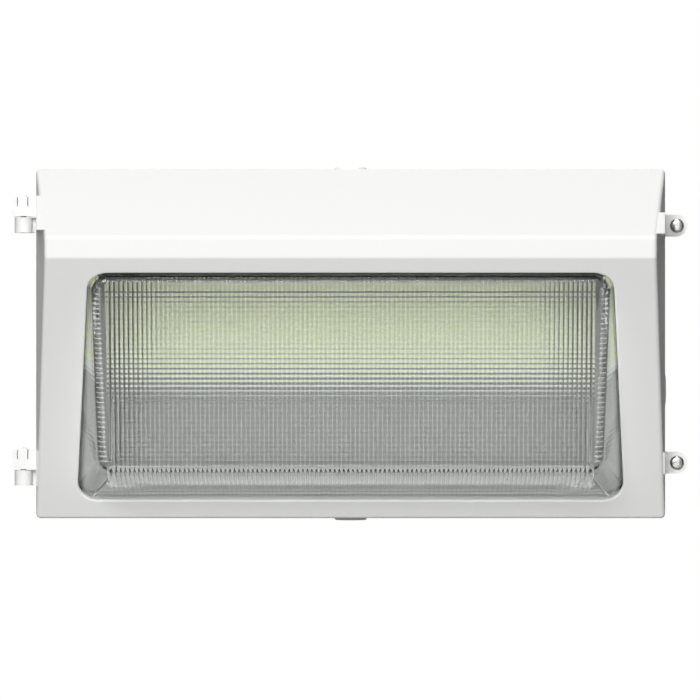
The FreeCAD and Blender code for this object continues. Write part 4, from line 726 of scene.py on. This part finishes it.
@dataclass
class Refractor:
    """The pressed glass: upright flutes outside, prisms across the inner face.

    Attributes:
        slope: The frame of the face that the glass bulges out of.
        fold: The outer fold's place, up the slope and out of it.
        top: The outer top edge's place.
        flute_pitch: Width of one flute.
        flute_count: Number of flutes.
        flute_height: How far a flute's crown stands out.
        flute_steps: Cuts in one flute.
        prism_pitch: Height of one prism, along the front face.
        prism_height: How far a prism stands in.
        prism_start: The lowest prism's distance over the fold.
        prism_count: Number of prisms.
        prism_steps: Cuts in one prism.
        fade: The height over the slope within which the flutes run out.
        wall: Thickness of the glass.
        fold_round: Radius of the folds' inner side, wider than the CAD part's.
        fold_steps: Faces in that curve.
        weld: Corners nearer than this become one.
        flat: Faces that bend less than this many degrees are joined first.
        sharp: Edges that bend more than this many degrees stay sharp.
        facing: Share of a normal along a direction from which a face looks that way.
        outer_share: Share of a normal out of the light from which a face is on the outside.
        inner_share: Share of a normal into the light from which a face is on the inner skin.
        front_share: Share of a normal out of the light from which a face is on the front.
        side_share: Share of a normal along x from which a face is on a side wall.
        under_share: Share of a normal down the front from which a face is underneath.
        flute_foot: Height over the slope from which the outer skin is fluted.
        skin_foot: Height over the slope from which the inner skin belongs to the bulge.
        flute_slack: Flutes stay this far off the outermost cuts.
        prism_slack: Points this far past the outermost prisms still count as theirs.
    """

    slope: SlopeFrame = field(default_factory=SlopeFrame)
    fold: tuple[float, float] = (65.7 * MM, 44.8 * MM)
    top: tuple[float, float] = (190.8 * MM, 2.0 * MM)
    flute_pitch: float = 3.05 * MM
    flute_count: int = 107
    flute_height: float = 0.75 * MM
    flute_steps: int = 6
    prism_pitch: float = 3.37 * MM
    prism_height: float = 0.75 * MM
    prism_start: float = 3.0 * MM
    prism_count: int = 36
    prism_steps: int = 4
    fade: float = 3.0 * MM
    wall: float = 4.0 * MM
    fold_round: float = 10.0 * MM
    fold_steps: int = 12
    weld: float = 0.002 * MM
    flat: float = 0.3
    sharp: float = 30.0
    facing: float = 0.9
    outer_share: float = 0.1
    inner_share: float = 0.2
    front_share: float = 0.25
    side_share: float = 0.6
    under_share: float = 0.3
    flute_foot: float = 0.5 * MM
    skin_foot: float = -1.0 * MM
    flute_slack: float = 0.01 * MM
    prism_slack: float = 1e-6

    def build(self, frame: dict, paints: Paintbox) -> None:
        """Makes the glass from the node's own shape and puts it in the node's place.

        Args:
            paints: The finishes.
        """
        work = bmesh.new()
        work.from_mesh(frame["nodes"]["glass_refractor"].data)
        bmesh.ops.remove_doubles(work, verts=work.verts, dist=self.weld)
        bmesh.ops.dissolve_limit(
            work, angle_limit=math.radians(self.flat), verts=work.verts, edges=work.edges
        )
        for way in (LEFT, RIGHT, UNDER):
            self.widen_fold(work, way)
        self.add_flutes(work)
        self.add_prisms(work)
        for face in work.faces:
            face.smooth = True
        piece = new_piece("pressed_glass", work, [paints.of(Slot.LENS_GLASS.value)])
        piece.data.set_sharp_from_angle(angle=math.radians(self.sharp))
        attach(piece, "door")
        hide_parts("glass_refractor")
        faces = len(piece.data.polygons)
        LOG.info("glass: %d flutes, %d prisms, %d faces", self.flute_count, self.prism_count, faces)

    def front(self) -> Vector:
        """Gives the direction up the front face."""
        return self.slope.direction(self.top[0] - self.fold[0], self.top[1] - self.fold[1])

    def outward(self) -> Vector:
        """Gives the direction square to the front face, out of the light."""
        return self.slope.direction(self.fold[1] - self.top[1], self.top[0] - self.fold[0])

    def fold_point(self) -> Vector:
        """Works out where the outer fold is, at the middle of the glass.

        Returns:
            The place.
        """
        y, z = self.slope.foot
        cosine, sine = math.cos(self.slope.angle), math.sin(self.slope.angle)
        along, out = self.fold
        return Vector((0, y - along * sine - out * cosine, z + along * cosine - out * sine))

    def outer_plane(self, work: Work, way: Vector) -> tuple[Vector, float]:
        """Finds the plane of the largest outer face that looks along a direction.

        Args:
            work: The glass.
            way: The direction, of length 1.

        Returns:
            The plane's normal, and its distance from the origin.
        """
        outward = self.outward()
        outside = [
            face
            for face in work.faces
            if face.normal.dot(way) > self.facing and face.normal.dot(outward) > self.outer_share
        ]
        largest = max(outside, key=lambda face: face.calc_area())
        return largest.normal.copy(), largest.normal.dot(largest.calc_center_median())

    def is_inside_fold(self, face: Face, inward: Vector) -> bool:
        """Tells whether a face is on the inner skin at a fold.

        Args:
            face: The face.
            inward: The direction from the fold's edge into the light, of length 1.

        Returns:
            True on the inner skin of the bulge.
        """
        over = self.slope.out(face.calc_center_median())
        return face.normal.dot(inward) > self.inner_share and over > self.skin_foot

    def widen_fold(self, work: Work, way: Vector) -> None:
        """Widens the curve on the inner side of a fold of the front.

        A tight inner curve catches light in the wall and shows as a black band; a wide one shows
        pale.

        Args:
            work: The glass.
            way: The direction that the wall on the fold's other side looks along.
        """
        first, first_far = self.outer_plane(work, self.outward())
        second, second_far = self.outer_plane(work, way)
        # Where both planes meet, nearest the origin.
        same = first.dot(second)
        meet = first * (first_far - second_far * same) + second * (second_far - first_far * same)
        corner = meet / (1 - same**2)
        inward = -(first + second).normalized()
        axis = first.cross(second).normalized()
        across = axis.cross(inward)
        turn = math.acos(-inward.dot(first))
        middle = corner + inward * ((self.wall + self.fold_round) / math.cos(turn))
        is_inner = partial(self.is_inside_fold, inward=inward)
        angles = [turn * (2 * k / self.fold_steps - 1) for k in range(self.fold_steps + 1)]
        places = [middle.dot(across) + self.fold_round * math.sin(angle) for angle in angles]
        self.cut_rows(work, is_inner, places, across)
        work.normal_update()
        for vert in {v for f in work.faces if is_inner(f) for v in f.verts}:
            arm = vert.co - middle
            arm -= axis * arm.dot(axis)
            in_sector = -arm.dot(inward) > arm.length * math.cos(turn)
            if arm.length > self.fold_round and in_sector:
                vert.co += arm * (self.fold_round / arm.length - 1)
        work.normal_update()

    def is_fluted(self, face: Face) -> bool:
        """Tells whether a face is on the outer skin where the flutes run.

        Args:
            face: The face.

        Returns:
            True on the front and underneath, and False on the side walls and the top.
        """
        middle, normal = face.calc_center_median(), face.normal
        if self.slope.out(middle) < self.flute_foot or abs(normal.x) > self.side_share:
            return False
        up, out = normal.dot(self.front()), normal.dot(self.outward())
        in_front = out > self.front_share and up < self.facing
        underneath = self.slope.along(middle) < self.fold[0] and up < -self.under_share
        return in_front or (underneath and out > -self.facing)

    def is_prismed(self, face: Face) -> bool:
        """Tells whether a face is on the inner skin where the prisms run."""
        return self.is_inside_fold(face, -self.outward())

    def cut_rows(
        self, work: Work, pick: Callable[[Face], bool], places: list[float], way: Vector
    ) -> None:
        """Cuts the picked faces by parallel planes, from the first to the last.

        Args:
            work: The glass.
            pick: Tells which faces are cut.
            places: Where each plane is along the way, rising.
            way: The direction that is square to the planes.
        """
        ahead = [face for face in work.faces if pick(face)]
        for place in places:
            ahead = [
                face
                for face in ahead
                if max(v.co.dot(way) for v in face.verts) > place + CUT_SLACK
            ]
            # Dictionaries keep the order, so every run cuts alike.
            edges = dict.fromkeys(edge for face in ahead for edge in face.edges)
            verts = dict.fromkeys(vert for face in ahead for vert in face.verts)
            cut = bmesh.ops.bisect_plane(
                work,
                geom=[*verts, *edges, *ahead],
                dist=CUT_SLACK,
                plane_co=way * place,
                plane_no=way,
            )
            ahead = [part for part in cut["geom"] if isinstance(part, Face)]

    def add_flutes(self, work: Work) -> None:
        """Raises the flutes on the outer skin.

        Args:
            work: The glass.
        """
        reach = self.flute_count * self.flute_pitch / 2
        step = self.flute_pitch / self.flute_steps
        places = [k * step - reach for k in range(self.flute_count * self.flute_steps + 1)]
        self.cut_rows(work, self.is_fluted, places, Vector((1, 0, 0)))
        work.normal_update()
        moved = {}
        for vert in {v for f in work.faces if self.is_fluted(f) for v in f.verts}:
            phase = ((vert.co.x + reach) / self.flute_pitch) % 1.0
            rise = max(0.0, min(1.0, self.slope.out(vert.co) / self.fade))
            if abs(vert.co.x) < reach - self.flute_slack:
                moved[vert] = vert.co + vert.normal * (self.flute_height * crown(phase) * rise)
        for vert, place in moved.items():
            vert.co = place

    def add_prisms(self, work: Work) -> None:
        """Raises the prisms on the inner skin.

        Args:
            work: The glass.
        """
        way, inward = self.front(), -self.outward()
        start = self.fold_point().dot(way) + self.prism_start
        step = self.prism_pitch / self.prism_steps
        places = [start + k * step for k in range(self.prism_count * self.prism_steps + 1)]
        self.cut_rows(work, self.is_prismed, places, way)
        work.normal_update()
        moved = {}
        length = self.prism_count * self.prism_pitch
        for vert in {v for f in work.faces if self.is_prismed(f) for v in f.verts}:
            height = vert.co.dot(way) - start
            if -self.prism_slack < height < length + self.prism_slack:
                phase = (height / self.prism_pitch) % 1.0
                turn = max(0.0, vert.normal.dot(inward))
                moved[vert] = vert.co + inward * (self.prism_height * crown(phase) * turn)
        for vert, place in moved.items():
            vert.co = place


@dataclass
class LampPackages:
    """The LED packages: white moulded squares with a window of yellow resin.

    Attributes:
        side: Width and height of a package.
        depth: Its height over the board.
        frame_width: Width of the white frame round the resin.
        sink: How far the resin lies under the frame.
        edge: The bevel round the package.
        pitch: Spacing across and upwards.
        columns: Number across.
        rows: Number upwards.
        middle: Height of the field's middle.
        seat: The board's front face.
    """

    side: float = 4.6 * MM
    depth: float = 0.7 * MM
    frame_width: float = 0.2 * MM
    sink: float = 0.08 * MM
    edge: float = 0.12 * MM
    pitch: tuple[float, float] = (8.07 * MM, 9.0 * MM)
    columns: int = 40
    rows: int = 6
    middle: float = 11.5 * MM
    seat: float = -77.6 * MM

    def one(self) -> Work:
        """Makes one package on the board, at x = 0 and z = 0.

        Returns:
            The package, with material 0 on its shell and 1 on its resin.
        """
        work = bmesh.new()
        bmesh.ops.create_cube(work, size=1.0)
        bmesh.ops.scale(work, vec=(self.side, self.depth, self.side), verts=work.verts)
        halfway = self.seat - self.depth / 2
        bmesh.ops.translate(work, vec=(0, halfway, 0), verts=work.verts)
        front_edges = [edge for edge in work.edges if all(v.co.y < halfway for v in edge.verts)]
        bmesh.ops.bevel(
            work,
            geom=front_edges,
            offset=self.edge,
            affect="EDGES",
            segments=1,
            profile=0.5,
            material=-1,
        )
        window = min(work.faces, key=lambda f: f.calc_center_median().y)
        bmesh.ops.inset_region(work, faces=[window], thickness=self.frame_width, depth=0.0)
        bmesh.ops.inset_region(work, faces=[window], thickness=self.sink, depth=-self.sink)
        window.material_index = 1
        back = max(work.faces, key=lambda f: f.calc_center_median().y)
        bmesh.ops.delete(work, geom=[back], context="FACES_ONLY")
        return work

    def build(self, frame: dict, paints: Paintbox) -> None:
        """Makes all packages as one piece.

        Args:
            paints: The finishes.
        """
        single = bpy.data.meshes.new("led_package")
        package = self.one()
        package.to_mesh(single)
        package.free()
        work = bmesh.new()
        for column in range(self.columns):
            for row in range(self.rows):
                x = (column - (self.columns - 1) / 2) * self.pitch[0]
                z = self.middle + (row - (self.rows - 1) / 2) * self.pitch[1]
                known = len(work.verts)
                work.from_mesh(single)
                work.verts.ensure_lookup_table()
                bmesh.ops.translate(work, vec=(x, 0, z), verts=work.verts[known:])
        bpy.data.meshes.remove(single)
        materials = [paints.of(PACKAGE_SHELL), paints.of(Slot.PHOSPHOR.value)]
        piece = new_piece("led_packages", work, materials)
        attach(piece, "housing")
        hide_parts("led_chips")
        faces = len(piece.data.polygons)
        LOG.info("lamps: %d packages, %d faces", self.columns * self.rows, faces)


# ---------------------------------------------------------------------------------------------
# Studio
# ---------------------------------------------------------------------------------------------


@dataclass
class Lamp:
    """One soft area lamp.

    Attributes:
        name: What it does.
        place: Where it stands.
        aim: The point that it faces.
        size: Its width and height.
        power: Its power in watts.
        is_card: Whether it only shows as a reflection, also inside glass, and lights nothing matt.
    """

    name: str
    place: Point
    aim: Point
    size: tuple[float, float]
    power: float
    is_card: bool = False

    def build(self) -> None:
        """Sets the lamp up, unseen by the camera. Through glass, only cards are seen."""
        data = bpy.data.lights.new(self.name, "AREA")
        data.shape = "RECTANGLE"
        data.size, data.size_y = self.size
        data.energy = self.power
        lamp = bpy.data.objects.new(self.name, data)
        way = Vector(self.aim) - Vector(self.place)
        turn = way.to_track_quat("-Z", "Y").to_matrix().to_4x4()
        lamp.matrix_world = Matrix.Translation(self.place) @ turn
        lamp.visible_camera = False
        lamp.visible_transmission = self.is_card
        lamp.visible_diffuse = not self.is_card
        bpy.context.scene.collection.objects.link(lamp)


@dataclass
class Studio:
    """A pale floor, soft lamps, a white surround and the camera.

    Attributes:
        eye: The camera's place; it looks along +Y.
        lens: Its focal length in millimetres.
        sensor: Its sensor's width in millimetres.
        floor_level: Height of the floor.
        floor_back: Where the floor ends behind the wall's plane, out of the camera's sight.
        floor_half: Half of the floor's width and depth.
        ambient: The surround's light on matt surfaces.
        flags: How bright the surround is at the far left and right, as metal and glass show it.
        flag_span: The share of x in a direction at which the flags begin, and are at their full.
        lamps: The lamps.
    """

    eye: Point = (-0.44 * MM, -4.0, -4.28 * MM)
    lens: float = 295.1
    sensor: float = 36.0
    floor_level: float = -1.0
    floor_back: float = 1.5
    floor_half: float = 3.0
    ambient: float = 0.03
    flags: float = 0.1
    flag_span: tuple[float, float] = (0.45, 0.75)
    lamps: tuple[Lamp, ...] = (
        Lamp("front_fill", (-1.0, -6.7, 2.0), (0, 0, 0), (3.0, 3.0), 423.0),
        Lamp("top_key", (-0.3, -1.6, 6.0), (0, 0, 0), (2.6, 2.6), 184.0),
        Lamp("back_fill", (0.0, 5.5, 1.5), (0, 0, 0), (3.0, 2.0), 90.0),
        Lamp("low_card", (0.0, -1.8, -0.75), (0, -0.15, -0.05), (1.8, 0.4), 6.8, is_card=True),
        Lamp("high_card", (0.0, -1.9, 1.05), (0, -0.15, -0.05), (1.8, 0.7), 11.9, is_card=True),
    )

    def build(self, paints: Paintbox) -> None:
        """Sets up the whole studio.

        Args:
            paints: The finishes.
        """
        self.lay_floor(paints)
        self.fill_world()
        for lamp in self.lamps:
            lamp.build()
        self.place_camera()
        bpy.context.scene.view_settings.view_transform = "Standard"
        LOG.info("studio: %d lamps", len(self.lamps))

    def lay_floor(self, paints: Paintbox) -> None:
        """Lays the floor.

        Args:
            paints: The finishes.
        """
        work = bmesh.new()
        bmesh.ops.create_grid(work, x_segments=1, y_segments=1, size=1.0)
        bmesh.ops.scale(work, vec=(self.floor_half, self.floor_half, 1.0), verts=work.verts)
        middle = (0, self.floor_back - self.floor_half, self.floor_level)
        bmesh.ops.translate(work, vec=middle, verts=work.verts)
        floor = new_piece("studio_floor", work, [paints.of(PALE_FLOOR)])

    def fill_world(self) -> None:
        """Makes the surround: white where it is seen and dim as a lamp.

        Metal and glass show it white too, but dark at the far left and right, like the black flags
        of a studio. Light that reaches a matt surface through the glass stays dim.
        """
        # A diffuse depth under this means that the ray has met no matt surface yet.
        first_bounce = 0.5
        world = bpy.data.worlds.new("white_surround")
        bpy.context.scene.world = world
        world.use_nodes = True
        tree = world.node_tree
        tree.nodes.clear()
        rays = add_node(tree, "LightPath")
        seen = add_node(
            tree,
            "Math",
            {"operation": "ADD"},
            {0: rays.outputs["Is Camera Ray"], 1: rays.outputs["Is Glossy Ray"]},
        )
        clear = add_node(
            tree,
            "Math",
            {"operation": "ADD", "use_clamp": True},
            {0: seen.outputs[0], 1: rays.outputs["Is Transmission Ray"]},
        )
        direct = add_node(
            tree,
            "Math",
            {"operation": "LESS_THAN", 1: first_bounce},
            {0: rays.outputs["Diffuse Depth"]},
        )
        shown = add_node(
            tree, "Math", {"operation": "MULTIPLY"}, {0: clear.outputs[0], 1: direct.outputs[0]}
        )
        way = add_node(
            tree, "SeparateXYZ", links={0: add_node(tree, "TexCoord").outputs["Generated"]}
        )
        sideways = add_node(tree, "Math", {"operation": "ABSOLUTE"}, {0: way.outputs["X"]})
        start, full = self.flag_span
        flagged = add_node(
            tree,
            "MapRange",
            {"From Min": start, "From Max": full, "To Min": 1.0, "To Max": self.flags},
            {"Value": sideways.outputs[0]},
        )
        level = add_node(
            tree,
            "Math",
            {"operation": "MAXIMUM"},
            {0: flagged.outputs[0], 1: rays.outputs["Is Camera Ray"]},
        )
        dim = add_node(tree, "Background", {"Color": WHITE, "Strength": self.ambient})
        white = add_node(tree, "Background", {"Color": WHITE}, {"Strength": level.outputs[0]})
        mixed = add_node(
            tree, "MixShader", links={0: shown.outputs[0], 1: dim.outputs[0], 2: white.outputs[0]}
        )
        add_node(tree, "OutputWorld", links={"Surface": mixed.outputs[0]})

    def place_camera(self) -> None:
        """Puts the camera square to the light's front, as far off as the photograph's was."""
        data = bpy.data.cameras.new("camera")
        data.sensor_width = self.sensor
        data.lens = self.lens
        camera = bpy.data.objects.new("camera", data)
        upright = Matrix.Rotation(math.radians(90), 4, "X")
        camera.matrix_world = Matrix.Translation(self.eye) @ upright
        bpy.context.scene.collection.objects.link(camera)
        bpy.context.scene.camera = camera


# ---------------------------------------------------------------------------------------------
# Everything in order
# ---------------------------------------------------------------------------------------------

ASSEMBLIES = (
    Assembly(
        "housing",
        {
            "rear_housing": Slot.WHITE_COAT,
            "wall_gasket": Slot.FOAM,
            "conduit_plug_top": Slot.WHITE_COAT,
            "conduit_plug_bottom": Slot.WHITE_COAT,
            "conduit_plug_right": Slot.WHITE_COAT,
            "plug_seals": Slot.SEAL_RUBBER,
            "hinge_pins": Slot.PIN_STEEL,
        },
    ),
    Assembly(
        "lamp carrier",
        {
            "led_heatsink": Slot.BARE_ALUMINIUM,
            "heatsink_screws": Slot.ZINC_SCREW,
            "led_board_left": Slot.WHITE_BOARD,
            "led_board_right": Slot.WHITE_BOARD,
            "board_screws": Slot.ZINC_SCREW,
            "board_jumper": Slot.WHITE_PLASTIC,
            "lead_connector": Slot.WHITE_PLASTIC,
            "board_clamp_left": Slot.CLIP_STEEL,
            "board_clamp_right": Slot.CLIP_STEEL,
            "clamp_screws": Slot.ZINC_SCREW,
        },
    ),
    Assembly(
        "gear space",
        {
            # The tray's mid grey is painted shade for the dim inside of the housing.
            "reflector_tray": Slot.SHADED_GREY_SHEET,
            "tray_screws": Slot.ZINC_SCREW,
            "lead_grommet": Slot.SEAL_RUBBER,
            "driver_case": Slot.DRIVER_SHEET,
            "driver_end_caps": Slot.BLACK_PLASTIC,
            "driver_screws": Slot.ZINC_SCREW,
            "surge_protector": Slot.BLACK_PLASTIC,
            "surge_screw": Slot.ZINC_SCREW,
            "terminal_block": Slot.CREAM_PLASTIC,
            "terminal_screws": Slot.ZINC_SCREW,
            "terminal_fixing_screw": Slot.ZINC_SCREW,
            "ground_screw": Slot.GREEN_SCREW,
            "ground_tag": Slot.CLIP_STEEL,
            "line_lead": Slot.LEAD_BLACK,
            "neutral_lead": Slot.LEAD_WHITE,
            "dc_lead_positive": Slot.LEAD_RED,
            "dc_lead_negative": Slot.LEAD_BLUE,
        },
    ),
    Assembly(
        "door",
        {
            "door_frame": Slot.WHITE_COAT,
            "door_gasket": Slot.SEAL_RUBBER,
            "glass_gasket": Slot.SEAL_RUBBER,
            "glass_clips": Slot.CLIP_STEEL,
            "glass_clip_screws": Slot.ZINC_SCREW,
            "closure_screw_upper": Slot.BRIGHT_SCREW,
            "closure_screw_lower": Slot.BRIGHT_SCREW,
        },
    ),
)


def main() -> None:
    """Builds the light and the studio round it."""
    logging.basicConfig(level=logging.INFO, format="%(message)s")
    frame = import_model()
    paints = Paintbox()
    for assembly in ASSEMBLIES:
        assembly.build(frame, paints)
    Refractor().build(frame, paints)
    LampPackages().build(frame, paints)
    Studio().build(paints)


if __name__ == "__main__":
    main()
